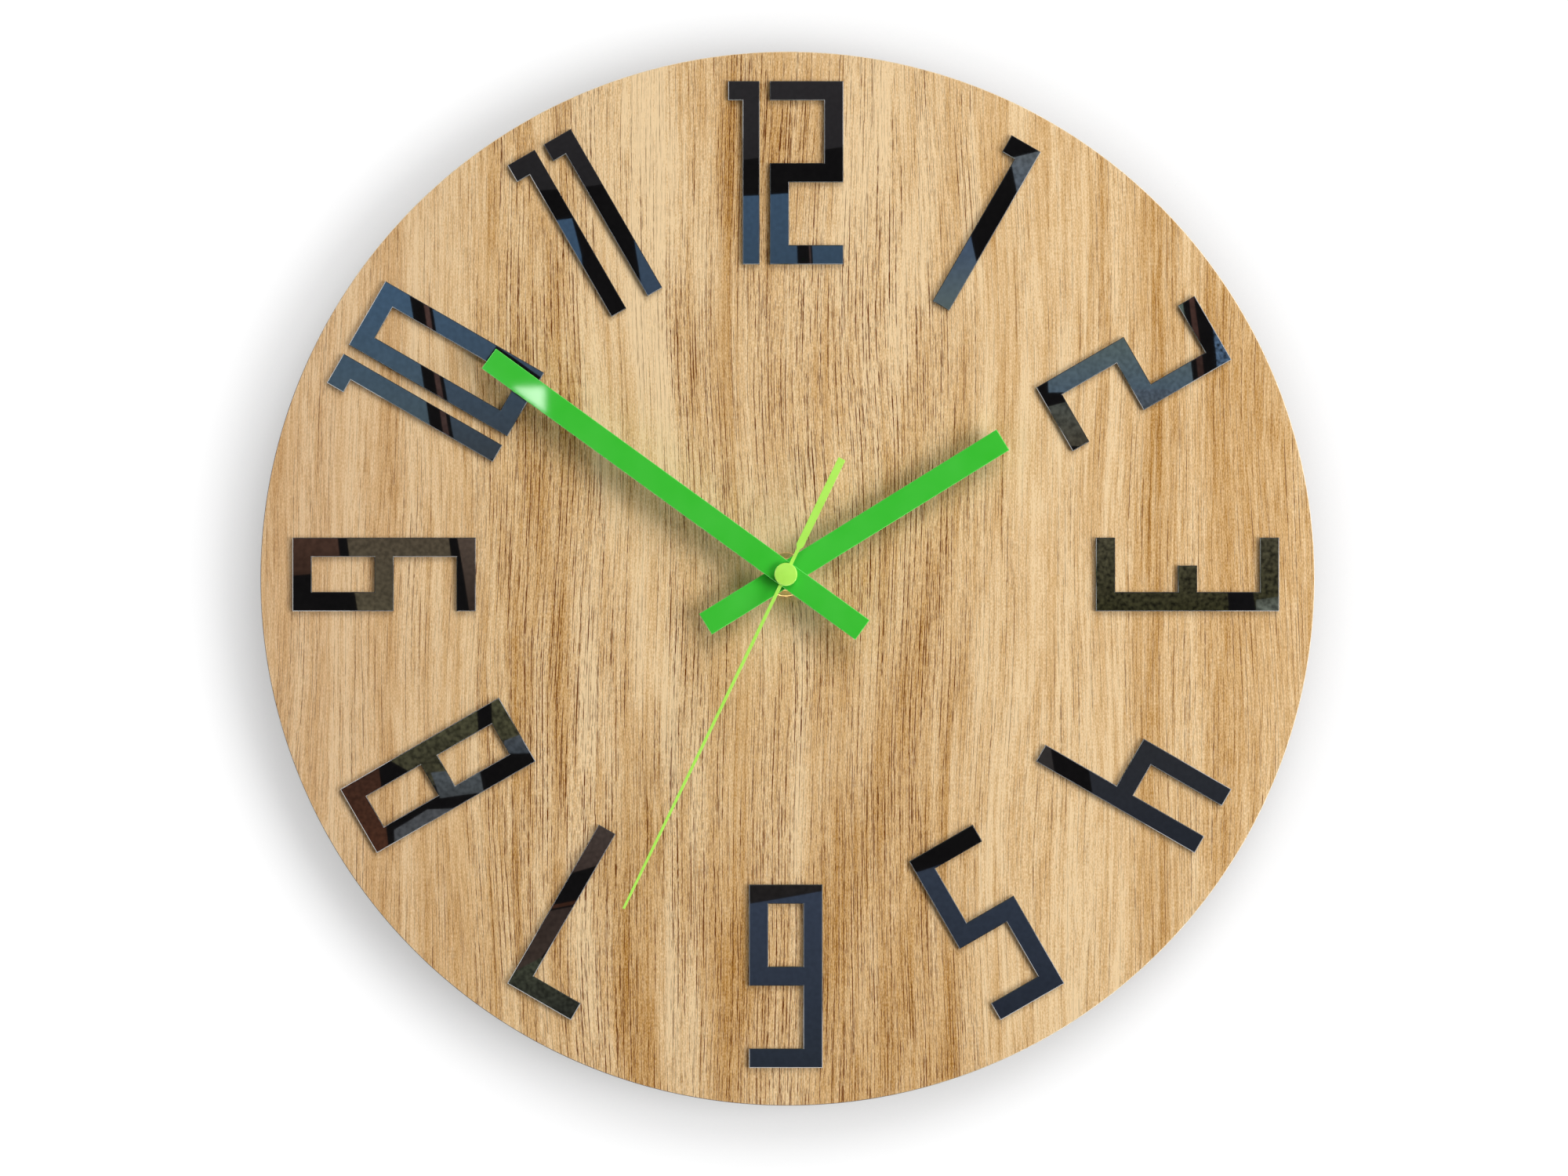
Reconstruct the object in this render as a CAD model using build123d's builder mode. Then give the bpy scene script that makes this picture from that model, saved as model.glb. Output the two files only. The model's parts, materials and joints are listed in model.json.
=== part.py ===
from build123d import *
import math
import os

# A round wooden wall clock with a quartz movement behind its board.
# The origin is where the hand axis meets the wall. +Z is up, +X is right seen from the front,
# and the front faces -Y. A depth is a distance from the wall towards the viewer.

# Board: an oak veneered disc. Its middle lies a little below and to the right of the hand axis.
disc_diameter = 330.0
disc_drop = 1.3
disc_shift = 0.5
core_thickness = 3.0
veneer_thickness = 0.5

# Numerals: square acrylic figures, each with its top towards the rim
numeral_height = 57.3
digit_width = 23.0
stroke = 6.0
slim_stem = 5.3
flag_length = 4.5
three_arm = 14.3
digit_gap = 3.2
ten_shift = 1.5
numeral_margin = 10.7
numeral_thickness = 2.0
numeral_bevel = 0.2
hours_round = 12

# Hands: flat acrylic bars and a thin metal second hand, at the time that they show at rest
hand_width = 7.6
hand_thickness = 2.0
hand_bevel = 0.2
hand_tail = 29.5
hour_reach = 79.7
minute_reach = 114.4
hour_angle = 58.2
minute_angle = 306.0
second_angle = 205.9
second_reach = 115.7
second_tail = 40.0
second_thickness = 0.4
second_root_width = 1.1
second_tip_width = 0.8
second_bar_width = 2.4
second_neck = 8.8
second_shoulder = 1.2
cap_diameter = 7.2
cap_thickness = 1.2
cap_rounding = 0.4

# Battery: one AA cell lying across the bottom of the movement
battery_length = 50.5
battery_diameter = 14.2
battery_nub_diameter = 5.4
battery_nub_length = 1.0
battery_rounding = 0.5
bay_clearance = 0.3
bay_ceiling = 1.2

# Battery contacts: two spring strips that run up the side walls to the circuit board
contact_thickness = 0.4
contact_width = 5.0
contact_dimple = 0.55
contact_dimple_diameter = 4.0
contact_gap = 0.3
contact_overlap = 4.0

# Movement case
case_wall = 1.5
case_corner = 3.0
post_diameter = 2.4
train_ceiling_gap = 2.45
train_circuit_gap = 4.0

# Hanging eye: a moulded loop whose dovetail foot slides into the top of the rear cover
hanger_diameter = 13.0
hanger_neck = 0.5
hanger_thickness = 3.0
nail_hole_diameter = 5.5
foot_neck_width = 6.0
foot_end_width = 9.0
foot_length = 4.0
foot_fit = 0.05

# Clamping of the movement to the board
gasket_thickness = 0.8
gasket_diameter = 24.0
bushing_diameter = 7.8
bushing_flange_diameter = 10.0
bushing_flange = 0.6
bushing_end = 2.0
board_hole_clearance = 0.3
washer_diameter = 13.6
washer_thickness = 0.6
nut_across_flats = 10.0
nut_thickness = 2.4
nut_sides = 6

# Gear teeth: straight flanks, with heights as shares of the module and widths of the pitch
addendum_share = 0.8
dedendum_share = 1.2
tip_share = 0.09
root_share = 0.20

# Going train, from the stepping motor to the minute pipe
train_module = 0.26
leaves = 8
intermediate_teeth = 40
second_teeth = 48
third_teeth = 60
centre_teeth = 64
third_bearing = 80.0
motor_bearing = 150.0

# Motion work, from the minute pipe to the hour pipe and the setting knob
motion_module = 0.35
cannon_leaves = 12
minute_teeth = 36
minute_leaves = 10
hour_teeth = 40
knob_leaves = 12
minute_bearing = 0.0
knob_bearing = 60.0

# Layers of the train, and the play between them
boss_height = 1.5
boss_wall = 0.9
wheel_thickness = 1.0
motion_thickness = 0.8
layer_gap = 0.8
running_gap = 0.4
end_play = 0.2
plate_thickness = 1.2
plate_margin = 3.3
pinion_overhang = 0.2

# Arbors and pipes, with the radial clearance of their bearings
arbor_diameter = 0.8
third_arbor_diameter = 1.0
second_arbor_diameter = 1.1
minute_pipe_diameter = 3.2
minute_hub_diameter = 4.0
hour_pipe_diameter = 5.0
stud_diameter = 1.6
bearing_clearance = 0.05
hand_fit = 0.02
hour_hand_gap = 1.4
hour_pipe_end = 0.2
minute_hand_gap = 1.6
minute_pipe_end = 0.4
second_hand_gap = 0.6

# Stepping motor
magnet_diameter = 4.8
magnet_length = 2.6
magnet_air_gap = 0.6
stator_rim = 1.0
stator_thickness = 1.0
stator_arm = 2.5
coil_length = 16.0
coil_diameter = 6.4
coil_end_gap = 0.5
coil_wall_gap = 0.5
coil_stator_gap = 1.0
core_width = 2.5
core_depth = 1.0
bobbin_tube_diameter = 3.8
bobbin_flange = 0.8
winding_inset = 0.2
core_clearance = 0.05

# Circuit board
circuit_height = 5.5
circuit_thickness = 0.8
circuit_gap = 0.3
circuit_post_spacing = 30.0
crystal_diameter = 2.0
crystal_length = 6.0
crystal_offset = 8.0
chip_diameter = 4.6
chip_height = 0.9

# Setting knob in a round recess of the rear cover
knob_diameter = 12.0
knob_thickness = 2.4
knob_sink = 0.4
knob_flutes = 18
flute_diameter = 1.2
knob_shaft_diameter = 2.5
knob_recess_gap = 1.0
recess_wall = 1.0
knob_boss_wall = 1.2

full_turn = 360.0
half_turn = full_turn / 2
BASE = (Align.CENTER, Align.CENTER, Align.MIN)


def polar(start, distance, bearing):
    """A point at a distance and an angle, from the right and turning left, from another point."""
    angle = math.radians(bearing)
    return (start[0] + distance * math.cos(angle), start[1] + distance * math.sin(angle))


def pitch_radius(teeth, module):
    return teeth * module / 2


def tip_radius(teeth, module):
    return pitch_radius(teeth, module) + addendum_share * module


def mesh_distance(driver, driven, module):
    return pitch_radius(driver, module) + pitch_radius(driven, module)


def mesh_phase(bearing, driver_phase, driver, driven):
    """The angle of a driven tooth that puts a gap where the driver has a tooth."""
    driver_pitch = full_turn / driver
    driven_pitch = full_turn / driven
    lead = (bearing - driver_phase) / driver_pitch
    return bearing + half_turn + driven_pitch * (lead + 1 / 2)


def at(axis, depth):
    """A plane that faces the viewer, centred on an axis at a depth."""
    return Plane(origin=(axis[0], -depth, axis[1]), x_dir=(1, 0, 0), z_dir=(0, -1, 0))


def turned(axis, depth, angle):
    """The same plane, with its up direction turned clockwise from twelve."""
    turn = math.radians(angle)
    right = (math.cos(turn), 0, -math.sin(turn))
    return Plane(origin=(axis[0], -depth, axis[1]), x_dir=right, z_dir=(0, -1, 0))


def keep(piece, name):
    piece.part.label = name
    export_step(piece.part, f"parts/{name}.step")


class ToothedDisc(BaseSketchObject):
    """A gear outline with a tooth centred at the phase angle."""

    def __init__(self, teeth, module, phase, mode=Mode.ADD):
        pitch = full_turn / teeth
        root = pitch_radius(teeth, module) - dedendum_share * module
        tip = tip_radius(teeth, module)
        points = []
        for tooth in range(teeth):
            middle = phase + tooth * pitch
            points.append(polar((0, 0), root, middle - root_share * pitch))
            points.append(polar((0, 0), tip, middle - tip_share * pitch))
            points.append(polar((0, 0), tip, middle + tip_share * pitch))
            points.append(polar((0, 0), root, middle + root_share * pitch))
        with BuildSketch() as outline:
            with BuildLine():
                Polyline(*points, close=True)
            make_face()
        super().__init__(outline.sketch, mode=mode)


os.makedirs("parts", exist_ok=True)

# Depths of the layers, from the wall forward
boss_top = case_wall + boss_height
pivot_depth = case_wall + end_play
intermediate_depth = boss_top + running_gap
second_depth = intermediate_depth + wheel_thickness + layer_gap
third_depth = second_depth + wheel_thickness + layer_gap
plate_depth = third_depth + wheel_thickness + layer_gap
plate_front = plate_depth + plate_thickness
centre_depth = plate_front + running_gap
cannon_depth = centre_depth + wheel_thickness
minute_depth = cannon_depth + running_gap
hour_depth = minute_depth + motion_thickness + running_gap
flange_depth = hour_depth + motion_thickness + running_gap
front_wall_depth = flange_depth + bushing_flange
case_depth = front_wall_depth + case_wall
board_depth = case_depth + gasket_thickness
core_front = board_depth + veneer_thickness + core_thickness
board_front = core_front + veneer_thickness
nut_depth = board_front + washer_thickness
bushing_front = nut_depth + nut_thickness + bushing_end
hour_hand_depth = bushing_front + hour_hand_gap
hour_pipe_front = hour_hand_depth + hand_thickness + hour_pipe_end
minute_hand_depth = hour_hand_depth + hand_thickness + minute_hand_gap
minute_pipe_front = minute_hand_depth + hand_thickness + minute_pipe_end
second_hand_depth = minute_pipe_front + second_hand_gap
cap_depth = second_hand_depth + second_thickness

# Axes of the train, as points right and up of the hand axis
hand_axis = (0, 0)
third_axis = polar(hand_axis, mesh_distance(leaves, third_teeth, train_module), third_bearing)
intermediate_axis = polar(hand_axis, mesh_distance(leaves, second_teeth, train_module), motor_bearing)
rotor_axis = polar(intermediate_axis, mesh_distance(leaves, intermediate_teeth, train_module), motor_bearing)
minute_axis = polar(hand_axis, mesh_distance(cannon_leaves, minute_teeth, motion_module), minute_bearing)
knob_axis = polar(minute_axis, mesh_distance(knob_leaves, minute_teeth, motion_module), knob_bearing)
centre_module = train_module * (leaves + third_teeth) / (leaves + centre_teeth)
hour_module = motion_module * (cannon_leaves + minute_teeth) / (minute_leaves + hour_teeth)

# Stator sizes that follow from the rotor
magnet_radius = magnet_diameter / 2
magnet_depth = second_depth
stator_hole = magnet_radius + magnet_air_gap
stator_ring = stator_hole + stator_rim
stator_depth = magnet_depth + (magnet_length - stator_thickness) / 2
stator_front = stator_depth + stator_thickness

# Case width inside: enough for the battery and its contacts, and for the motor beside the hand axis
contact_room = contact_gap + contact_dimple + contact_thickness
motor_room = stator_ring - rotor_axis[0] + coil_stator_gap + coil_diameter + coil_wall_gap + contact_thickness
case_inside = max(battery_length / 2 + contact_room, motor_room)
case_half = case_inside + case_wall
contact_face = case_inside - contact_thickness
contact_reach = contact_face - contact_gap - battery_length / 2

# Case height inside: the battery bay below the train, and the circuit board above it
battery_radius = battery_diameter / 2
ceiling_bottom = -tip_radius(centre_teeth, centre_module) - train_ceiling_gap - bay_ceiling
battery_axis = (0, ceiling_bottom - bay_clearance - battery_radius)
battery_depth = front_wall_depth - bay_clearance - battery_radius
bay_height = battery_diameter + 2 * bay_clearance
bay_width = battery_length + 2 * contact_gap
inside_bottom = ceiling_bottom - bay_height
circuit_bottom = third_axis[1] + tip_radius(third_teeth, train_module) + train_circuit_gap
circuit_middle = (0, circuit_bottom + circuit_height / 2)
circuit_depth = battery_depth - circuit_thickness / 2
inside_top = circuit_bottom + circuit_height + circuit_gap
inside_height = inside_top - inside_bottom
case_middle = (0, (inside_top + inside_bottom) / 2)
case_height = inside_height + 2 * case_wall
case_top = inside_top + case_wall
hanger_middle = (0, case_top + hanger_neck + hanger_diameter / 2)

# Coil beside the left contact
coil_axis = (coil_wall_gap + coil_diameter / 2 - contact_face, rotor_axis[1])
coil_depth = stator_front + core_depth / 2
arm_offset = coil_length / 2 + coil_end_gap + stator_arm / 2
motor_span = 2 * arm_offset + stator_arm

# Middle plate edges, which reach past the arbors and stop short of the knob shaft
plate_left = rotor_axis[0] - plate_margin
plate_right = knob_axis[0] - knob_shaft_diameter / 2 - plate_margin / 2
plate_top = third_axis[1] + plate_margin
plate_bottom = -minute_hub_diameter / 2 - plate_margin
post_inset = plate_margin / 2
plate_posts = [
    (plate_left + post_inset, plate_top - post_inset),
    (plate_left + post_inset, plate_bottom + post_inset),
    (plate_right - post_inset, plate_top - post_inset),
]
stator_posts = [
    (rotor_axis[0] - stator_ring / 2, rotor_axis[1] + arm_offset),
    (rotor_axis[0] - stator_ring / 2, rotor_axis[1] - arm_offset),
]
circuit_posts = [
    (-circuit_post_spacing / 2, circuit_middle[1]),
    (circuit_post_spacing / 2, circuit_middle[1]),
]

# Knob recess sizes
knob_front = knob_sink + knob_thickness
recess_radius = knob_diameter / 2 + knob_recess_gap
recess_floor = knob_front + end_play
recess_front = recess_floor + case_wall
knob_pinion_depth = minute_depth - end_play
knob_pinion_length = motion_thickness + 2 * end_play
knob_boss_depth = knob_pinion_depth + knob_pinion_length + end_play
knob_pivot_depth = knob_pinion_depth + knob_pinion_length

# Board: a core between two oak veneers, bored for the bushing on the hand axis
disc_middle = (disc_shift, -disc_drop)
board_hole = bushing_diameter / 2 + board_hole_clearance
board_layers = {
    "back_veneer": (board_depth, veneer_thickness),
    "board_core": (board_depth + veneer_thickness, core_thickness),
    "front_veneer": (core_front, veneer_thickness),
}
for name, (depth, thickness) in board_layers.items():
    with BuildPart() as board_layer:
        with BuildSketch(at(hand_axis, depth)):
            with Locations(disc_middle):
                Circle(disc_diameter / 2)
            Circle(board_hole, mode=Mode.SUBTRACT)
        extrude(amount=thickness)
    keep(board_layer, name)

# Strokes that figures share: right and up place of the middle, width and height
top_height = numeral_height / 2 - stroke / 2
side_place = digit_width / 2 - stroke / 2
half_side = numeral_height / 2 + stroke / 2
half_place = top_height / 2
strokes = {
    "top": (0, top_height, digit_width, stroke),
    "middle": (0, 0, digit_width, stroke),
    "bottom": (0, -top_height, digit_width, stroke),
    "left": (-side_place, 0, stroke, numeral_height),
    "right": (side_place, 0, stroke, numeral_height),
    "upper left": (-side_place, half_place, stroke, half_side),
    "lower left": (-side_place, -half_place, stroke, half_side),
    "upper right": (side_place, half_place, stroke, half_side),
    "lower right": (side_place, -half_place, stroke, half_side),
    "short arm": ((digit_width - three_arm) / 2, 0, three_arm, stroke),
}
figure_strokes = {
    "0": ["top", "bottom", "left", "right"],
    "2": ["top", "upper right", "middle", "lower left", "bottom"],
    "3": ["top", "short arm", "bottom", "right"],
    "4": ["upper left", "middle", "right"],
    "5": ["top", "upper left", "middle", "lower right", "bottom"],
    "6": ["top", "left", "middle", "lower right", "bottom"],
    "7": ["top", "right"],
    "8": ["top", "middle", "bottom", "left", "right"],
    "9": ["top", "upper left", "middle", "right", "bottom"],
}


def figure_width(figure, stem):
    return flag_length + stem if figure == "1" else digit_width


def figure_bars(figure, stem):
    """The bars of one figure about the middle of its own box."""
    if figure != "1":
        return [strokes[name] for name in figure_strokes[figure]]
    width = figure_width(figure, stem)
    return [
        ((width - stem) / 2, 0, stem, numeral_height),
        (0, top_height, width, stroke),
    ]


def numeral_bars(figures, stem, shift):
    """The bars of a whole numeral, its figures side by side about the radial line."""
    widths = [figure_width(figure, stem) for figure in figures]
    left = shift - (sum(widths) + digit_gap * (len(figures) - 1)) / 2
    bars = []
    for figure, width in zip(figures, widths):
        for x, z, bar_width, bar_height in figure_bars(figure, stem):
            bars.append((left + width / 2 + x, z, bar_width, bar_height))
        left += width + digit_gap
    return bars


# Numerals: the single one is centred on its stem, and the ten sits a little to the left
numeral_radius = disc_diameter / 2 - numeral_margin - numeral_height / 2
numeral_stems = {11: slim_stem, 12: slim_stem}
numeral_shifts = {1: -flag_length / 2, 10: -ten_shift}
for hour in range(1, hours_round + 1):
    bearing = half_turn / 2 - hour * full_turn / hours_round
    middle = polar(hand_axis, numeral_radius, bearing)
    bars = numeral_bars(str(hour), numeral_stems.get(hour, stroke), numeral_shifts.get(hour, 0))
    with BuildPart() as numeral:
        with BuildSketch(turned(middle, board_front, hour * full_turn / hours_round)):
            for x, z, bar_width, bar_height in bars:
                with Locations((x, z)):
                    Rectangle(bar_width, bar_height)
        extrude(amount=numeral_thickness)
        chamfer(numeral.faces().group_by(Axis.Y)[0].edges(), numeral_bevel)
    keep(numeral, f"numeral_{hour}")

# Hour and minute hands: square ended bars, bored for their pipes
bar_hands = {
    "hour_hand": (hour_hand_depth, hour_angle, hour_reach, hour_pipe_diameter),
    "minute_hand": (minute_hand_depth, minute_angle, minute_reach, minute_pipe_diameter),
}
for name, (depth, angle, reach, pipe_diameter) in bar_hands.items():
    with BuildPart() as bar_hand:
        with BuildSketch(turned(hand_axis, depth, angle)):
            with Locations((0, (reach - hand_tail) / 2)):
                Rectangle(hand_width, reach + hand_tail)
        extrude(amount=hand_thickness)
        chamfer(bar_hand.faces().sort_by(Axis.Y)[0].edges(), hand_bevel)
        with BuildSketch(at(hand_axis, depth)):
            Circle(pipe_diameter / 2 + hand_fit)
        extrude(amount=hand_thickness, mode=Mode.SUBTRACT)
    keep(bar_hand, name)

# Second hand: a tapered blade, and a tail that widens after a thin neck
with BuildPart() as second_hand:
    with BuildSketch(turned(hand_axis, second_hand_depth, second_angle)):
        with BuildLine():
            right_side = [
                (second_tip_width / 2, second_reach),
                (second_root_width / 2, 0),
                (second_root_width / 2, -second_neck),
                (second_bar_width / 2, -second_neck - second_shoulder),
                (second_bar_width / 2, -second_tail),
            ]
            left_side = [(-x, z) for x, z in reversed(right_side)]
            Polyline(*right_side, *left_side, close=True)
        make_face()
        Circle(cap_diameter / 2 - cap_rounding)
        Circle(second_arbor_diameter / 2 + hand_fit, mode=Mode.SUBTRACT)
    extrude(amount=second_thickness)
keep(second_hand, "second_hand")

# Round cap that holds the second hand on its arbor
with BuildPart() as second_hand_cap:
    with BuildSketch(at(hand_axis, cap_depth)):
        Circle(cap_diameter / 2)
    extrude(amount=cap_thickness)
    fillet(second_hand_cap.faces().sort_by(Axis.Y)[0].edges(), cap_rounding)
keep(second_hand_cap, "second_hand_cap")

# Rubber gasket, washer and nut that clamp the movement to the board
with BuildPart() as rubber_gasket:
    with BuildSketch(at(hand_axis, case_depth)):
        Circle(gasket_diameter / 2)
        Circle(bushing_diameter / 2, mode=Mode.SUBTRACT)
    extrude(amount=gasket_thickness)
keep(rubber_gasket, "rubber_gasket")

with BuildPart() as clamp_washer:
    with BuildSketch(at(hand_axis, board_front)):
        Circle(washer_diameter / 2)
        Circle(bushing_diameter / 2, mode=Mode.SUBTRACT)
    extrude(amount=washer_thickness)
keep(clamp_washer, "clamp_washer")

with BuildPart() as clamp_nut:
    with BuildSketch(at(hand_axis, nut_depth)):
        RegularPolygon(nut_across_flats / 2, nut_sides, major_radius=False)
        Circle(bushing_diameter / 2, mode=Mode.SUBTRACT)
    extrude(amount=nut_thickness)
keep(clamp_nut, "clamp_nut")

# Threaded bushing, flanged behind the front wall, with a running bore for the hour pipe
with BuildPart() as threaded_bushing:
    with Locations(at(hand_axis, flange_depth)):
        Cylinder(bushing_flange_diameter / 2, bushing_flange, align=BASE)
        Cylinder(bushing_diameter / 2, bushing_front - flange_depth, align=BASE)
        Cylinder(
            hour_pipe_diameter / 2 + bearing_clearance,
            bushing_front - flange_depth,
            align=BASE,
            mode=Mode.SUBTRACT,
        )
keep(threaded_bushing, "threaded_bushing")

# Front half of the movement case: a tray with posts, a stud and the battery bay's ceiling
with BuildPart() as front_case:
    with BuildSketch(at(case_middle, case_wall)):
        RectangleRounded(2 * case_half, case_height, case_corner)
    extrude(amount=case_depth - case_wall)
    with BuildSketch(at(case_middle, case_wall)):
        Rectangle(2 * case_inside, inside_height)
    extrude(amount=front_wall_depth - case_wall, mode=Mode.SUBTRACT)
    with BuildSketch(at(hand_axis, case_wall)):
        with Locations((0, ceiling_bottom + bay_ceiling / 2)):
            Rectangle(2 * (contact_face - contact_gap), bay_ceiling)
    extrude(amount=front_wall_depth - case_wall)
    with BuildSketch(at(hand_axis, plate_front)):
        with Locations(*plate_posts):
            Circle(post_diameter / 2)
    extrude(amount=front_wall_depth - plate_front)
    with BuildSketch(at(hand_axis, circuit_depth + circuit_thickness)):
        with Locations(*circuit_posts):
            Circle(post_diameter / 2)
    extrude(amount=front_wall_depth - circuit_depth - circuit_thickness)
    with Locations(at(minute_axis, minute_depth - end_play / 2)):
        Cylinder(stud_diameter / 2, front_wall_depth - minute_depth + end_play / 2, align=BASE)
    with Locations(at(knob_axis, knob_boss_depth)):
        boss_length = front_wall_depth - knob_boss_depth
        Cylinder(stud_diameter / 2 + knob_boss_wall, boss_length, align=BASE)
        Cylinder(stud_diameter / 2 + bearing_clearance, boss_length, align=BASE, mode=Mode.SUBTRACT)
    with Locations(at(hand_axis, front_wall_depth)):
        Cylinder(bushing_diameter / 2, case_wall, align=BASE, mode=Mode.SUBTRACT)
keep(front_case, "movement_front_case")

# Rear bearings: axis and arbor diameter
rear_bearings = [
    (hand_axis, second_arbor_diameter),
    (third_axis, third_arbor_diameter),
    (intermediate_axis, arbor_diameter),
    (rotor_axis, arbor_diameter),
]

# Bottom of the dovetail that holds the hanging eye in the rear cover
foot_end = case_top - foot_length


def foot_outline(fit):
    """Corners of the dovetail, with a fit all round inside the cover."""
    neck = foot_neck_width / 2 + fit
    end = foot_end_width / 2 + fit
    return [(-neck, case_top), (-end, foot_end - fit), (end, foot_end - fit), (neck, case_top)]


# Rear cover: bearing bosses, stator posts, knob recess, battery opening and dovetail slot
with BuildPart() as rear_cover:
    with BuildSketch(at(hand_axis, 0)):
        with Locations(case_middle):
            RectangleRounded(2 * case_half, case_height, case_corner)
        with Locations(battery_axis):
            Rectangle(bay_width, bay_height, mode=Mode.SUBTRACT)
        with Locations(knob_axis):
            Circle(recess_radius, mode=Mode.SUBTRACT)
        with BuildLine():
            Polyline(*foot_outline(foot_fit), close=True)
        make_face(mode=Mode.SUBTRACT)
    extrude(amount=case_wall)
    with BuildSketch(at(knob_axis, 0)):
        Circle(recess_radius + recess_wall)
        Circle(recess_radius, mode=Mode.SUBTRACT)
    extrude(amount=recess_front)
    with BuildSketch(at(knob_axis, recess_floor)):
        Circle(recess_radius)
        Circle(knob_shaft_diameter / 2 + bearing_clearance, mode=Mode.SUBTRACT)
    extrude(amount=case_wall)
    for axis, diameter in rear_bearings:
        with Locations(at(axis, case_wall)):
            Cylinder(diameter / 2 + boss_wall, boss_height, align=BASE)
            Cylinder(diameter / 2 + bearing_clearance, boss_height, align=BASE, mode=Mode.SUBTRACT)
    with BuildSketch(at(hand_axis, case_wall)):
        with Locations(*stator_posts):
            Circle(post_diameter / 2)
    extrude(amount=stator_depth - case_wall)
keep(rear_cover, "movement_rear_cover")

# Hanging eye for a nail, above the case, with its foot in the cover's slot
with BuildPart() as hanging_eye:
    with BuildSketch(at(hand_axis, 0)):
        with BuildLine():
            Polyline(*foot_outline(0), close=True)
        make_face()
    extrude(amount=case_wall)
    with BuildSketch(at(hand_axis, 0)):
        with Locations(hanger_middle):
            Circle(hanger_diameter / 2)
        with Locations((0, (case_top + hanger_middle[1]) / 2)):
            Rectangle(hanger_diameter, hanger_middle[1] - case_top)
        with Locations(hanger_middle):
            Circle(nail_hole_diameter / 2, mode=Mode.SUBTRACT)
    extrude(amount=hanger_thickness)
keep(hanging_eye, "hanging_eye")

# Middle plate: the front bearings of the going train
plate_bearings = [
    (hand_axis, minute_hub_diameter),
    (third_axis, third_arbor_diameter),
    (intermediate_axis, arbor_diameter),
    (rotor_axis, arbor_diameter),
]
with BuildPart() as middle_plate:
    with BuildSketch(at(hand_axis, plate_depth)):
        with Locations(((plate_left + plate_right) / 2, (plate_bottom + plate_top) / 2)):
            Rectangle(plate_right - plate_left, plate_top - plate_bottom)
        for axis, diameter in plate_bearings:
            with Locations(axis):
                Circle(diameter / 2 + bearing_clearance, mode=Mode.SUBTRACT)
    extrude(amount=plate_thickness)
keep(middle_plate, "middle_plate")

# Battery: a can with a positive nub at its right end
with BuildPart() as battery:
    can_length = battery_length - battery_nub_length
    with BuildSketch(Plane(origin=(-battery_length / 2, -battery_depth, battery_axis[1]), z_dir=(1, 0, 0))):
        Circle(battery_radius)
    extrude(amount=can_length)
    fillet(battery.edges().filter_by(GeomType.CIRCLE), battery_rounding)
    with BuildSketch(battery.faces().sort_by(Axis.X)[-1]):
        Circle(battery_nub_diameter / 2)
    extrude(amount=battery_nub_length)
keep(battery, "battery")

# Battery contacts: a strip on each side wall, dimpled towards the end of the battery
contact_bottom = battery_axis[1] - contact_overlap
contact_top = circuit_middle[1] + circuit_height / 2
for name, side in {"contact_negative": -1, "contact_positive": 1}.items():
    inner_face = Plane(
        origin=(side * contact_face, -battery_depth, 0), x_dir=(0, 1, 0), z_dir=(side, 0, 0)
    )
    with BuildPart() as contact:
        with BuildSketch(inner_face):
            with Locations((0, side * (contact_bottom + contact_top) / 2)):
                Rectangle(contact_width, contact_top - contact_bottom)
        extrude(amount=contact_thickness)
        with BuildSketch(inner_face):
            with Locations((0, side * battery_axis[1])):
                Circle(contact_dimple_diameter / 2)
        extrude(amount=-contact_reach)
    keep(contact, name)

# Circuit board across the top of the case, with its quartz crystal and timing chip
with BuildPart() as circuit_board:
    with BuildSketch(at(circuit_middle, circuit_depth)):
        Rectangle(2 * contact_face, circuit_height)
    extrude(amount=circuit_thickness)
keep(circuit_board, "circuit_board")

with BuildPart() as quartz_crystal:
    crystal_start = (crystal_offset, crystal_diameter / 2 - circuit_depth, circuit_middle[1])
    with BuildSketch(Plane(origin=crystal_start, z_dir=(1, 0, 0))):
        Circle(crystal_diameter / 2)
    extrude(amount=crystal_length)
keep(quartz_crystal, "quartz_crystal")

with BuildPart() as timing_chip:
    with BuildSketch(at(circuit_middle, circuit_depth - chip_height)):
        Circle(chip_diameter / 2)
    extrude(amount=chip_height)
    fillet(timing_chip.faces().sort_by(Axis.Y)[-1].edges(), chip_height / 2)
keep(timing_chip, "timing_chip")

# Stepping motor: stator plate round the rotor, joined to the core that runs through the coil
arm_left = coil_axis[0] - core_width / 2
with BuildPart() as stator_plate:
    with BuildSketch(at(rotor_axis, stator_depth)):
        Circle(stator_ring)
        with Locations((-stator_ring / 2, 0)):
            Rectangle(stator_ring, motor_span)
        with Locations(
            ((arm_left - rotor_axis[0]) / 2, arm_offset), ((arm_left - rotor_axis[0]) / 2, -arm_offset)
        ):
            Rectangle(rotor_axis[0] - arm_left, stator_arm)
        Circle(stator_hole, mode=Mode.SUBTRACT)
    extrude(amount=stator_thickness)
keep(stator_plate, "stator_plate")

with BuildPart() as coil_core:
    with BuildSketch(at(coil_axis, stator_front)):
        Rectangle(core_width, motor_span)
    extrude(amount=core_depth)
keep(coil_core, "coil_core")

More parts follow.
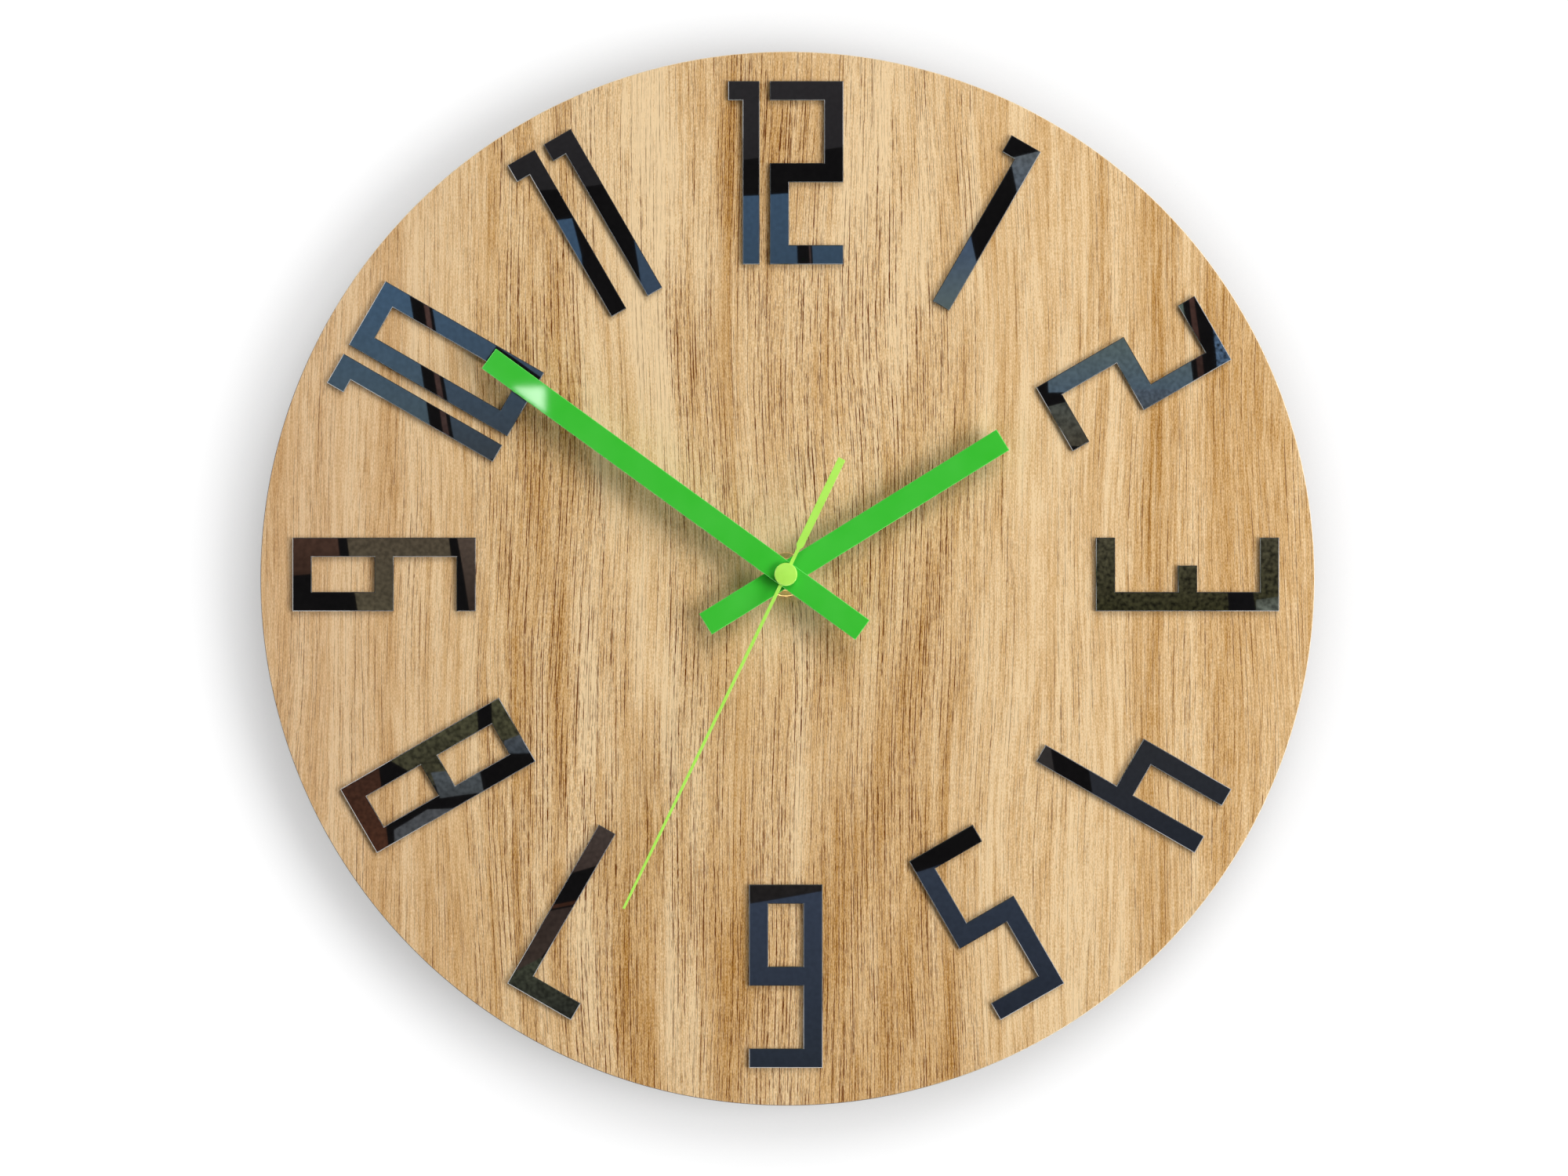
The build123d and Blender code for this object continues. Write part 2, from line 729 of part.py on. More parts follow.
coil_bottom = Plane(origin=(coil_axis[0], -coil_depth, coil_axis[1] - coil_length / 2), z_dir=(0, 0, 1))
with BuildPart() as coil_bobbin:
    with BuildSketch(coil_bottom):
        Circle(coil_diameter / 2)
    extrude(amount=bobbin_flange)
    with BuildSketch(coil_bottom.offset(coil_length - bobbin_flange)):
        Circle(coil_diameter / 2)
    extrude(amount=bobbin_flange)
    with BuildSketch(coil_bottom):
        Circle(bobbin_tube_diameter / 2)
    extrude(amount=coil_length)
    with BuildSketch(coil_bottom):
        Rectangle(core_width + 2 * core_clearance, core_depth + 2 * core_clearance)
    extrude(amount=coil_length, mode=Mode.SUBTRACT)
keep(coil_bobbin, "coil_bobbin")

with BuildPart() as coil_winding:
    with BuildSketch(coil_bottom.offset(bobbin_flange)):
        Circle(coil_diameter / 2 - winding_inset)
        Circle(bobbin_tube_diameter / 2, mode=Mode.SUBTRACT)
    extrude(amount=coil_length - 2 * bobbin_flange)
keep(coil_winding, "coil_winding")

# Rotor: a pinion on a thin arbor, and a ring magnet pressed on it
rotor_pinion_depth = intermediate_depth - pinion_overhang
rotor_pinion_length = wheel_thickness + 2 * pinion_overhang
plate_pivot = plate_front - end_play
with BuildPart() as rotor_pinion:
    with BuildSketch(at(rotor_axis, rotor_pinion_depth)):
        ToothedDisc(leaves, train_module, 0)
    extrude(amount=rotor_pinion_length)
    with Locations(at(rotor_axis, pivot_depth)):
        Cylinder(arbor_diameter / 2, plate_pivot - pivot_depth, align=BASE)
keep(rotor_pinion, "rotor_pinion")

with BuildPart() as rotor_magnet:
    with BuildSketch(at(rotor_axis, magnet_depth)):
        Circle(magnet_radius)
        Circle(arbor_diameter / 2, mode=Mode.SUBTRACT)
    extrude(amount=magnet_length)
keep(rotor_magnet, "rotor_magnet")

# Intermediate wheel and pinion, moulded in one with their arbor
intermediate_phase = mesh_phase(motor_bearing - half_turn, 0, leaves, intermediate_teeth)
intermediate_front = intermediate_depth + wheel_thickness
with BuildPart() as intermediate_wheel:
    with BuildSketch(at(intermediate_axis, intermediate_depth)):
        ToothedDisc(intermediate_teeth, train_module, intermediate_phase)
    extrude(amount=wheel_thickness)
    with BuildSketch(at(intermediate_axis, intermediate_front)):
        ToothedDisc(leaves, train_module, 0)
    extrude(amount=second_depth + wheel_thickness + pinion_overhang - intermediate_front)
    with Locations(at(intermediate_axis, pivot_depth)):
        Cylinder(arbor_diameter / 2, plate_pivot - pivot_depth, align=BASE)
keep(intermediate_wheel, "intermediate_wheel")

# Second wheel and pinion, pressed on the steel second arbor
second_phase = mesh_phase(motor_bearing - half_turn, 0, leaves, second_teeth)
second_front = second_depth + wheel_thickness
with BuildPart() as second_wheel:
    with BuildSketch(at(hand_axis, second_depth)):
        ToothedDisc(second_teeth, train_module, second_phase)
    extrude(amount=wheel_thickness)
    with BuildSketch(at(hand_axis, second_front)):
        ToothedDisc(leaves, train_module, 0)
    extrude(amount=third_depth + wheel_thickness + pinion_overhang - second_front)
    with Locations(at(hand_axis, second_depth)):
        Cylinder(
            second_arbor_diameter / 2, plate_depth - second_depth, align=BASE, mode=Mode.SUBTRACT
        )
keep(second_wheel, "second_wheel")

with BuildPart() as second_arbor:
    with Locations(at(hand_axis, pivot_depth)):
        Cylinder(second_arbor_diameter / 2, cap_depth - pivot_depth, align=BASE)
keep(second_arbor, "second_arbor")

# Third wheel behind the middle plate, with its pinion in front of it
third_phase = mesh_phase(third_bearing, 0, leaves, third_teeth)
third_pinion_depth = plate_front + end_play
with BuildPart() as third_wheel:
    with BuildSketch(at(third_axis, third_depth)):
        ToothedDisc(third_teeth, train_module, third_phase)
    extrude(amount=wheel_thickness)
    with BuildSketch(at(third_axis, third_pinion_depth)):
        ToothedDisc(leaves, centre_module, 0)
    extrude(amount=cannon_depth + pinion_overhang - third_pinion_depth)
    with Locations(at(third_axis, pivot_depth)):
        Cylinder(third_arbor_diameter / 2, third_pinion_depth - pivot_depth, align=BASE)
keep(third_wheel, "third_wheel")

# Minute pipe with its hub and cannon pinion, and the centre wheel held on it by friction
hub_depth = plate_depth + end_play
cannon_length = minute_depth + motion_thickness - cannon_depth + end_play
with BuildPart() as minute_pipe:
    with Locations(at(hand_axis, hub_depth)):
        Cylinder(minute_hub_diameter / 2, centre_depth - hub_depth, align=BASE)
        Cylinder(minute_pipe_diameter / 2, minute_pipe_front - hub_depth, align=BASE)
    with BuildSketch(at(hand_axis, cannon_depth)):
        ToothedDisc(cannon_leaves, motion_module, 0)
    extrude(amount=cannon_length)
    with Locations(at(hand_axis, hub_depth)):
        Cylinder(
            second_arbor_diameter / 2 + bearing_clearance,
            minute_pipe_front - hub_depth,
            align=BASE,
            mode=Mode.SUBTRACT,
        )
keep(minute_pipe, "minute_pipe")

centre_phase = mesh_phase(third_bearing - half_turn, 0, leaves, centre_teeth)
with BuildPart() as centre_wheel:
    with BuildSketch(at(hand_axis, centre_depth)):
        ToothedDisc(centre_teeth, centre_module, centre_phase)
        Circle(minute_pipe_diameter / 2, mode=Mode.SUBTRACT)
    extrude(amount=wheel_thickness)
keep(centre_wheel, "centre_wheel")

# Minute wheel and pinion, which turn on the stud of the front case
minute_phase = mesh_phase(minute_bearing, 0, cannon_leaves, minute_teeth)
minute_front = minute_depth + motion_thickness
with BuildPart() as minute_wheel:
    with BuildSketch(at(minute_axis, minute_depth)):
        ToothedDisc(minute_teeth, motion_module, minute_phase)
    extrude(amount=motion_thickness)
    with BuildSketch(at(minute_axis, minute_front)):
        ToothedDisc(minute_leaves, hour_module, 0)
    extrude(amount=hour_depth + motion_thickness + pinion_overhang - minute_front)
    with Locations(at(minute_axis, minute_depth)):
        Cylinder(
            stud_diameter / 2 + bearing_clearance,
            front_wall_depth - minute_depth,
            align=BASE,
            mode=Mode.SUBTRACT,
        )
keep(minute_wheel, "minute_wheel")

# Hour wheel and the pipe that carries the hour hand
hour_phase = mesh_phase(minute_bearing - half_turn, 0, minute_leaves, hour_teeth)
with BuildPart() as hour_wheel:
    with BuildSketch(at(hand_axis, hour_depth)):
        ToothedDisc(hour_teeth, hour_module, hour_phase)
    extrude(amount=motion_thickness)
    with Locations(at(hand_axis, hour_depth)):
        Cylinder(hour_pipe_diameter / 2, hour_pipe_front - hour_depth, align=BASE)
        Cylinder(
            minute_pipe_diameter / 2 + bearing_clearance,
            hour_pipe_front - hour_depth,
            align=BASE,
            mode=Mode.SUBTRACT,
        )
keep(hour_wheel, "hour_wheel")

# Setting knob: a fluted disc, its shaft, a pinion on the minute wheel and a front pivot
knob_phase = mesh_phase(knob_bearing, minute_phase, minute_teeth, knob_leaves)
with BuildPart() as setting_knob:
    with BuildSketch(at(knob_axis, knob_sink)):
        Circle(knob_diameter / 2)
        with PolarLocations(knob_diameter / 2, knob_flutes):
            Circle(flute_diameter / 2, mode=Mode.SUBTRACT)
    extrude(amount=knob_thickness)
    with Locations(at(knob_axis, knob_front)):
        Cylinder(knob_shaft_diameter / 2, knob_pinion_depth - knob_front, align=BASE)
    with BuildSketch(at(knob_axis, knob_pinion_depth)):
        ToothedDisc(knob_leaves, motion_module, knob_phase)
    extrude(amount=knob_pinion_length)
    with Locations(at(knob_axis, knob_pivot_depth)):
        Cylinder(stud_diameter / 2, front_wall_depth - end_play - knob_pivot_depth, align=BASE)
keep(setting_knob, "setting_knob")
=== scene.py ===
import json
import math

import bmesh
import bpy
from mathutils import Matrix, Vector


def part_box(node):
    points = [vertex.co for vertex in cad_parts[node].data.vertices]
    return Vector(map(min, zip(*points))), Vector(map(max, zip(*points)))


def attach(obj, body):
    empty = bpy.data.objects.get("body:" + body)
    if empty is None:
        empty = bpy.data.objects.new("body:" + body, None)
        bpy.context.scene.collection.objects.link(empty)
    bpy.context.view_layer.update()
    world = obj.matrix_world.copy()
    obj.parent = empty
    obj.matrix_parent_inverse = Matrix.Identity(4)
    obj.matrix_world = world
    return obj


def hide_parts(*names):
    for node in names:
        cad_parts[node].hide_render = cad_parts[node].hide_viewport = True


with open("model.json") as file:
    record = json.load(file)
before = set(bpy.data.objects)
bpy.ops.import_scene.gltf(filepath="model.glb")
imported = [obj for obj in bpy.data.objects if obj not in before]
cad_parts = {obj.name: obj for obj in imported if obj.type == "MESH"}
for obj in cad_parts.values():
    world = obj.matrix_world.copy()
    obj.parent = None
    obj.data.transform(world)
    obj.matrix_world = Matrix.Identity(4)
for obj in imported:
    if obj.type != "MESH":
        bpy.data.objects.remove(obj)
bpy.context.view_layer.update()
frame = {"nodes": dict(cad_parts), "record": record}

# A round oak wall clock: +Z is up, +X is right, the dial faces -Y and the wall is the plane y = 0.
MM = 0.001
record = frame["record"]
slot_of = {part["node"]: part["material_slot"] for part in record["subparts"]}
body_of = {node: body for body, nodes in record["behaviour"]["bodies"].items() for node in nodes}

# Places that the solids give
board_low, board_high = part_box("front_veneer")
disc_middle = (board_low + board_high) / 2
disc_radius = (board_high.x - board_low.x) / 2
numeral_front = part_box("numeral_12")[0].y

# Camera: straight on, at the distance of a long lens
PIXELS_WIDE = 2000
PIXELS_PER_MM = 4.0753
SENSOR_WIDTH = 36.0
CAMERA_DISTANCE = 2.5
CAMERA_RIGHT = -0.57 * MM
CAMERA_UP = -4.24 * MM
camera_place = Vector((CAMERA_RIGHT, board_low.y - CAMERA_DISTANCE, CAMERA_UP))


def paint(code):
    """An sRGB hex colour as linear red, green, blue and alpha."""
    shares = [int(code[i:i + 2], 16) / 255 for i in (1, 3, 5)]
    return [s / 12.92 if s <= 0.04045 else ((s + 0.055) / 1.055) ** 2.4 for s in shares] + [1.0]


def put(tree, kind, inputs=None, **settings):
    """Adds a node, with its settings, and its inputs as values, sockets or nodes."""
    node = tree.nodes.new("ShaderNode" + kind)
    for name, value in settings.items():
        setattr(node, name, value)
    for key, value in (inputs or {}).items():
        source = value.outputs[0] if isinstance(value, bpy.types.Node) else value
        if isinstance(source, bpy.types.NodeSocket):
            tree.links.new(source, node.inputs[key])
        else:
            node.inputs[key].default_value = source
    return node


def shade(ramp, stops):
    """Gives a colour ramp its stops, as places and hex colours."""
    elements = ramp.color_ramp.elements
    while len(elements) < len(stops):
        elements.new(1.0)
    for element, (place, code) in zip(elements, stops):
        element.position = place
        element.color = paint(code)


def started(name):
    """A new material, its node tree and its shader."""
    material = bpy.data.materials.new(name)
    material.use_nodes = True
    return material, material.node_tree, material.node_tree.nodes["Principled BSDF"]


# Oak figure, in millimetres on the face: width, length, start and detail of each kind of streak
OAK_STREAKS = {
    "feather": (2.4, 40.0, 11.0, 2.0),
    "lift": (4.0, 30.0, 17.0, 2.0),
    "leaf": (11.0, 420.0, 23.0, 2.0),
    "stripe": (1.3, 170.0, 29.0, 3.0),
    "fibre": (0.36, 6.0, 31.0, 2.0),
    "grit": (0.30, 0.8, 43.0, 1.0),
    "dot": (0.5, 3.5, 97.0, 2.0),
    "cluster": (12.0, 110.0, 79.0, 2.0),
}
# How much each streak darkens or lightens the wood
OAK_WEIGHTS = {"leaf": 0.8, "stripe": 0.65, "fibre": 0.6, "grit": 0.8}
# Vessels that the knife cut open: spacing across and along, half width as a share of the first, depth and start
OAK_VESSELS = [
    (1.9, 34.0, 0.09, 1.0, 5.0),
    (1.2, 12.0, 0.115, 0.7, 37.0),
    (0.6, 2.2, 0.22, 0.4, 71.0),
]
# Bands of tone across the board, in millimetres from the hand axis, at the bottom, middle and top; light below zero
OAK_BANDS = [
    [(-150, 0.05), (-120, 0.05), (-95, 0.15), (-70, 0.05), (-55, 0.10), (-42, 0.20), (-35, 0.0), (-22, 0.15),
     (0, 0.10), (14, 0.20), (32, 0.15), (50, 0.10), (66, -0.05), (86, -0.10), (112, 0.10), (134, 0.15), (150, 0.10)],
    [(-150, 0.0), (-116, 0.0), (-111, -0.10), (-104, 0.0), (-88, 0.05), (-76, 0.20), (-66, 0.10), (-59, -0.10),
     (-45, -0.15), (-25, 0.0), (-9, -0.15), (12, 0.0), (30, 0.05), (46, 0.15), (60, 0.0), (86, -0.15),
     (104, 0.0), (112, 0.15), (122, 0.05), (134, 0.15), (150, 0.15)],
    [(-150, 0.0), (-111, -0.10), (-80, 0.05), (-62, -0.10), (-44, -0.30), (-28, -0.15), (-15, 0.15), (4, 0.05),
     (20, -0.05), (34, -0.15), (56, -0.05), (86, -0.15), (112, 0.10), (134, 0.10), (150, 0.10)],
]
BAND_TURNS = [(-95.0, -35.0), (35.0, 95.0)]
BAND_REACH = 170.0
BAND_WEIGHT = 0.85
# How slowly the grain wanders, across and along
SWAY_WIDTH = 60.0
SWAY_LENGTH = 200.0
# Growth rings: where their heart lies, how fast they open and climb, and how wide and strong they are
HEART_PLACE = -6.0
HEART_WIDTH = 60.0
FLAME_SLOPE = 0.35
RING_WIDTH = 15.0
RING_WEIGHT = 0.10
RING_CROWD = 0.1
MIDDLE_TONE = 0.26
# How each pattern is read: from and to, and what these give
OAK_READINGS = {
    "sway": {1: 0.25, 2: 0.75, 3: -3.5, 4: 3.5},
    "feather": {1: 0.25, 2: 0.75, 3: -4.0, 4: 4.0},
    "lift": {1: 0.25, 2: 0.75, 3: -14.0, 4: 14.0},
    "ring": {1: 0.0, 2: RING_WIDTH, 3: -1.0, 4: 1.0},
    "pink side": {1: -145.0, 2: -85.0, 3: 0.3, 4: 0.0},
    "vessel depth": {1: 0.1, 2: 0.75, 3: 0.15, 4: 1.2},
    "dots": {1: 0.38, 2: 0.56, 3: 0.4, 4: 1.2},
    "crowd": {1: 0.25, 2: 0.60, 3: 0.4, 4: 1.1},
    "fewer on the right": {1: 45.0, 2: 75.0, 3: 1.0, 4: 0.5},
    "fewer on the left": {1: -80.0, 2: -105.0, 3: 1.0, 4: 0.5},
    "lacquer": {3: 0.48, 4: 0.7},
}
# A vessel's line fades between these shares of its half width
VESSEL_DARK = 0.75
VESSEL_END = 1.05
# The satin film mirrors little, so that the wood keeps its tone
LACQUER_SHINE = 0.1


def oak_veneer(name, tones, pore_tone, pink_tone):
    """Crown-cut oak veneer, sanded and lacquered: feathered flames up the middle, straight stripes at the sides
    and dark vessel lines along the grain, under a thin satin film."""
    material, tree, shader = started(name)
    sides = put(tree, "SeparateXYZ", {0: put(tree, "TexCoord").outputs["Object"]})
    face = put(tree, "CombineXYZ", {"X": sides.outputs["X"], "Y": sides.outputs["Z"]})
    face = put(tree, "VectorMath", {0: face, "Scale": 1 / MM}, operation="SCALE")

    # Grain that wanders across the board
    slow = put(tree, "VectorMath", {0: face, 1: (1 / SWAY_WIDTH, 1 / SWAY_LENGTH, 0)}, operation="MULTIPLY")
    wander = put(tree, "TexNoise", {"Vector": slow, "Scale": 1.0, "Detail": 1.0}, noise_dimensions="2D")
    sway = put(tree, "MapRange", {0: wander, **OAK_READINGS["sway"]})
    grain = put(tree, "VectorMath", {0: face, 1: put(tree, "CombineXYZ", {"X": sway})}, operation="ADD")
    along = put(tree, "SeparateXYZ", {0: grain})
    streaks = {}
    for streak, (width, length, start, detail) in OAK_STREAKS.items():
        drawn_out = put(tree, "VectorMath", {0: grain, 1: (1 / width, 1 / length, 0), 2: (start, start, 0)},
                        operation="MULTIPLY_ADD")
        streaks[streak] = put(tree, "TexNoise", {"Vector": drawn_out, "Scale": 1.0, "Detail": detail},
                              noise_dimensions="2D")

    # Flames and bands with edges that tear along the grain
    feather = put(tree, "MapRange", {0: streaks["feather"], **OAK_READINGS["feather"]})
    lift = put(tree, "MapRange", {0: streaks["lift"], **OAK_READINGS["lift"]})
    tear = put(tree, "CombineXYZ", {"X": feather, "Y": lift})
    torn = put(tree, "VectorMath", {0: grain, 1: tear}, operation="ADD")
    torn_sides = put(tree, "SeparateXYZ", {0: torn})
    across = put(tree, "MapRange", {0: torn_sides.outputs["X"], 1: -BAND_REACH, 2: BAND_REACH})
    levels = []
    for bands in OAK_BANDS:
        level = put(tree, "ValToRGB", {0: across})
        level.color_ramp.interpolation = "EASE"
        elements = level.color_ramp.elements
        while len(elements) < len(bands):
            elements.new(1.0)
        for element, (right, depth) in zip(elements, bands):
            element.position = (right + BAND_REACH) / (2 * BAND_REACH)
            element.color = [0.5 + depth] * 3 + [1.0]
        levels.append(level)
    figure = levels[0]
    for above, (low, high) in zip(levels[1:], BAND_TURNS):
        turn = put(tree, "MapRange", {0: torn_sides.outputs["Y"], 1: low, 2: high}, interpolation_type="SMOOTHSTEP")
        figure = put(tree, "MixRGB", {0: turn, 1: figure, 2: above})
    figure = put(tree, "Math", {0: figure, 1: 0.5}, operation="SUBTRACT")

    # Growth rings: nested tongues that point down about the heart
    from_heart = put(tree, "Math", {0: torn_sides.outputs["X"], 1: HEART_PLACE}, operation="SUBTRACT")
    squared = put(tree, "Math", {0: from_heart, 1: 2.0}, operation="POWER")
    flank = put(tree, "Math", {0: squared, 1: 1 / HEART_WIDTH}, operation="MULTIPLY")
    climbed = put(tree, "Math", {0: torn_sides.outputs["Y"], 1: -FLAME_SLOPE, 2: flank}, operation="MULTIPLY_ADD")
    rings = put(tree, "Math", {0: climbed, 1: RING_WIDTH}, operation="PINGPONG")
    early = put(tree, "MapRange", {0: rings, **OAK_READINGS["ring"]}, interpolation_type="SMOOTHSTEP")

    tone = put(tree, "Math", {0: early, 1: RING_WEIGHT, 2: MIDDLE_TONE}, operation="MULTIPLY_ADD")
    tone = put(tree, "Math", {0: figure, 1: BAND_WEIGHT, 2: tone}, operation="MULTIPLY_ADD")
    for streak, weight in OAK_WEIGHTS.items():
        centred = put(tree, "Math", {0: streaks[streak], 1: 0.5}, operation="SUBTRACT")
        tone = put(tree, "Math", {0: centred, 1: weight, 2: tone}, operation="MULTIPLY_ADD")
    wood = put(tree, "ValToRGB", {0: tone})
    shade(wood, tones)
    pink = put(tree, "MapRange", {0: along.outputs["X"], **OAK_READINGS["pink side"]})
    wood = put(tree, "MixRGB", {0: pink, 1: wood, 2: paint(pink_tone)})

    # Vessels: thin tapered lines, close and dark in the flames and fainter at the sides
    marks = None
    for spacing, length, half_width, depth, start in OAK_VESSELS:
        cell = put(tree, "VectorMath", {0: grain, 1: (1 / spacing, 1 / length, 0), 2: (start, start, 0)},
                   operation="MULTIPLY_ADD")
        vessel = put(tree, "TexVoronoi", {"Vector": cell, "Scale": 1.0}, voronoi_dimensions="2D")
        apart = put(tree, "VectorMath", {0: cell, 1: vessel.outputs["Position"]}, operation="SUBTRACT")
        beside = put(tree, "SeparateXYZ", {0: put(tree, "VectorMath", {0: apart}, operation="ABSOLUTE")})
        end = put(tree, "Math", {0: beside.outputs["Y"], 1: 2.0}, operation="POWER")
        edge = put(tree, "Math", {0: end, 1: half_width * 2, 2: beside.outputs["X"]}, operation="MULTIPLY_ADD")
        line = put(tree, "MapRange", {0: edge, 1: half_width * VESSEL_DARK, 2: half_width * VESSEL_END, 3: depth,
                                      4: 0.0})
        chance = put(tree, "SeparateColor", {0: vessel.outputs["Color"]})
        share = put(tree, "MapRange", {0: chance.outputs["Red"], **OAK_READINGS["vessel depth"]})
        line = put(tree, "Math", {0: line, 1: share}, operation="MULTIPLY")
        marks = put(tree, "Math", {0: marks, 1: line}, operation="MAXIMUM") if marks else line
    dots = put(tree, "MapRange", {0: streaks["dot"], **OAK_READINGS["dots"]})
    marks = put(tree, "Math", {0: marks, 1: dots}, operation="MULTIPLY")
    crowd = put(tree, "Math", {0: figure, 1: 1.0, 2: streaks["cluster"]}, operation="MULTIPLY_ADD")
    crowd = put(tree, "Math", {0: early, 1: RING_CROWD, 2: crowd}, operation="MULTIPLY_ADD")
    crowd = put(tree, "MapRange", {0: crowd, **OAK_READINGS["crowd"]})
    marks = put(tree, "Math", {0: marks, 1: crowd}, operation="MULTIPLY")
    for side in ("fewer on the right", "fewer on the left"):
        fewer = put(tree, "MapRange", {0: along.outputs["X"], **OAK_READINGS[side]})
        marks = put(tree, "Math", {0: marks, 1: fewer}, operation="MULTIPLY")
    marked = put(tree, "MixRGB", {0: marks, 1: wood, 2: paint(pore_tone)})
    tree.links.new(marked.outputs[0], shader.inputs["Base Color"])
    gloss = put(tree, "MapRange", {0: marks, **OAK_READINGS["lacquer"]})
    tree.links.new(gloss.outputs[0], shader.inputs["Roughness"])
    shader.inputs["Specular IOR Level"].default_value = LACQUER_SHINE
    height = put(tree, "Math", {0: marks, 1: -1.0, 2: streaks["fibre"]}, operation="MULTIPLY_ADD")
    relief = put(tree, "Bump", {"Height": height, "Distance": 0.05 * MM, "Strength": 0.5})
    tree.links.new(relief.outputs[0], shader.inputs["Normal"])
    return material


# Painted shade on the rim: its side, toward the lower left and away from the lamps, and the distances from the middle
# where the shade begins and is full
SHADED_SIDE = Vector((-0.77, 0.0, -0.64))
SHADE_FROM = 0.2 * disc_radius
SHADE_FULL = 0.5 * disc_radius


def veneer_edge():
    """Sanded oak edge: bare pale wood, darkened nearly black along the lower left by painted shade."""
    material, tree, shader = started("sanded_oak_edge")
    place = put(tree, "TexCoord").outputs["Object"]
    grain_size = 0.8 * MM
    grains = put(tree, "TexNoise", {"Vector": place, "Scale": 1 / grain_size, "Detail": 3.0})
    bare = put(tree, "ValToRGB", {0: grains})
    shade(bare, [(0.3, "#F3E6CF"), (0.7, "#E2CBA6")])
    # Painted shade: the bare edge turns nearly black toward the lower left, the side away from the lamps
    toward = put(tree, "VectorMath", {0: place, 1: SHADED_SIDE}, operation="DOT_PRODUCT").outputs["Value"]
    scorch_and_shade = put(tree, "MapRange", {0: toward, 1: SHADE_FROM, 2: SHADE_FULL})
    colour = put(tree, "MixRGB", {0: scorch_and_shade, 1: bare, 2: paint("#33271B")})
    tree.links.new(colour.outputs[0], shader.inputs["Base Color"])
    shader.inputs["Roughness"].default_value = 0.6
    relief = put(tree, "Bump", {"Height": grains, "Distance": 0.05 * MM, "Strength": 0.6})
    tree.links.new(relief.outputs[0], shader.inputs["Normal"])
    return material


def board_edge():
    """Laser-cut fibreboard: brown, scorched darker in fine upright stripes."""
    material, tree, shader = started("laser_cut_fibreboard")
    place = put(tree, "TexCoord").outputs["Object"]
    stripe_width = 0.6 * MM
    stripe_length = 1 / 60
    drawn_out = put(tree, "VectorMath", {0: place, 1: (1 / stripe_width, 1 / stripe_length, 1 / stripe_width)},
                    operation="MULTIPLY")
    stripes = put(tree, "TexNoise", {"Vector": drawn_out, "Scale": 1.0, "Detail": 3.0})
    scorch_and_shade = put(tree, "ValToRGB", {0: stripes})
    shade(scorch_and_shade, [(0.3, "#4A2F1A"), (0.55, "#6E4A2A"), (0.75, "#8A6238")])
    tree.links.new(scorch_and_shade.outputs[0], shader.inputs["Base Color"])
    shader.inputs["Roughness"].default_value = 0.75
    relief = put(tree, "Bump", {"Height": stripes, "Distance": 0.1 * MM, "Strength": 0.4})
    tree.links.new(relief.outputs[0], shader.inputs["Normal"])
    return material


ACRYLIC_IOR = 1.49
# A surface is face where its normal runs this much along the depth, and cut edge where it runs less than the second
FACE_ON = 0.95
EDGE_ON = 0.6


def cast_acrylic(name, face, edge, roughness, edge_roughness):
    """Cast acrylic sheet, polished and laser cut: a deep clear gloss on the face, and a paler colour on the narrow cut
    edges that is partly the cut edge's own and partly a painted highlight, with a faint unevenness that bends what it
    mirrors."""
    material, tree, shader = started(name)
    normal = put(tree, "NewGeometry").outputs["True Normal"]
    facing = put(tree, "Math", {0: put(tree, "SeparateXYZ", {0: normal}).outputs["Y"]}, operation="ABSOLUTE")
    cut = put(tree, "MapRange", {0: facing, 1: FACE_ON, 2: EDGE_ON})
    place = put(tree, "TexCoord").outputs["Object"]
    cloud_size = 14 * MM
    wave_size = 25 * MM
    cloud = put(tree, "TexNoise", {"Vector": place, "Scale": 1 / cloud_size, "Detail": 2.0})
    sheet = put(tree, "ValToRGB", {0: cloud})
    shade(sheet, [(0.3, face[0]), (0.7, face[1])])
    # Painted highlight, in part: the paler colour of the cut edges also stands in for the light that they catch
    colour = put(tree, "MixRGB", {0: cut, 1: sheet, 2: paint(edge)})
    tree.links.new(colour.outputs[0], shader.inputs["Base Color"])
    gloss = put(tree, "MapRange", {0: cut, 3: roughness, 4: edge_roughness})
    tree.links.new(gloss.outputs[0], shader.inputs["Roughness"])
    shader.inputs["IOR"].default_value = ACRYLIC_IOR
    wave = put(tree, "TexNoise", {"Vector": place, "Scale": 1 / wave_size, "Detail": 1.0})
    relief = put(tree, "Bump", {"Height": wave, "Distance": 0.02 * MM, "Strength": 0.3})
    tree.links.new(relief.outputs[0], shader.inputs["Normal"])
    return material


# How far a plain material's roughness falls and rises with its grains
SMOOTHER = 0.06
ROUGHER = 0.08


def plain_stock(name, light, dark, grain, roughness, metallic=0.0, relief=0.0, draw=(1, 1, 1), ior=1.5):
    """A material of one stuff: two close tones in grains of a size in millimetres, with the relief they leave."""
    material, tree, shader = started(name)
    place = put(tree, "TexCoord").outputs["Object"]
    pull = [share / (grain * MM) for share in draw]
    drawn = put(tree, "VectorMath", {0: place, 1: pull}, operation="MULTIPLY")
    grains = put(tree, "TexNoise", {"Vector": drawn, "Scale": 1.0, "Detail": 3.0})
    tones = put(tree, "ValToRGB", {0: grains})
    shade(tones, [(0.3, light), (0.7, dark)])
    tree.links.new(tones.outputs[0], shader.inputs["Base Color"])
    gloss = put(tree, "MapRange", {0: grains, 3: roughness - SMOOTHER, 4: roughness + ROUGHER})
    tree.links.new(gloss.outputs[0], shader.inputs["Roughness"])
    shader.inputs["Metallic"].default_value = metallic
    if not metallic:
        shader.inputs["IOR"].default_value = ior
    if relief:
        pressed = put(tree, "Bump", {"Height": grains, "Distance": relief * MM, "Strength": 0.6})
        tree.links.new(pressed.outputs[0], shader.inputs["Normal"])
    return material


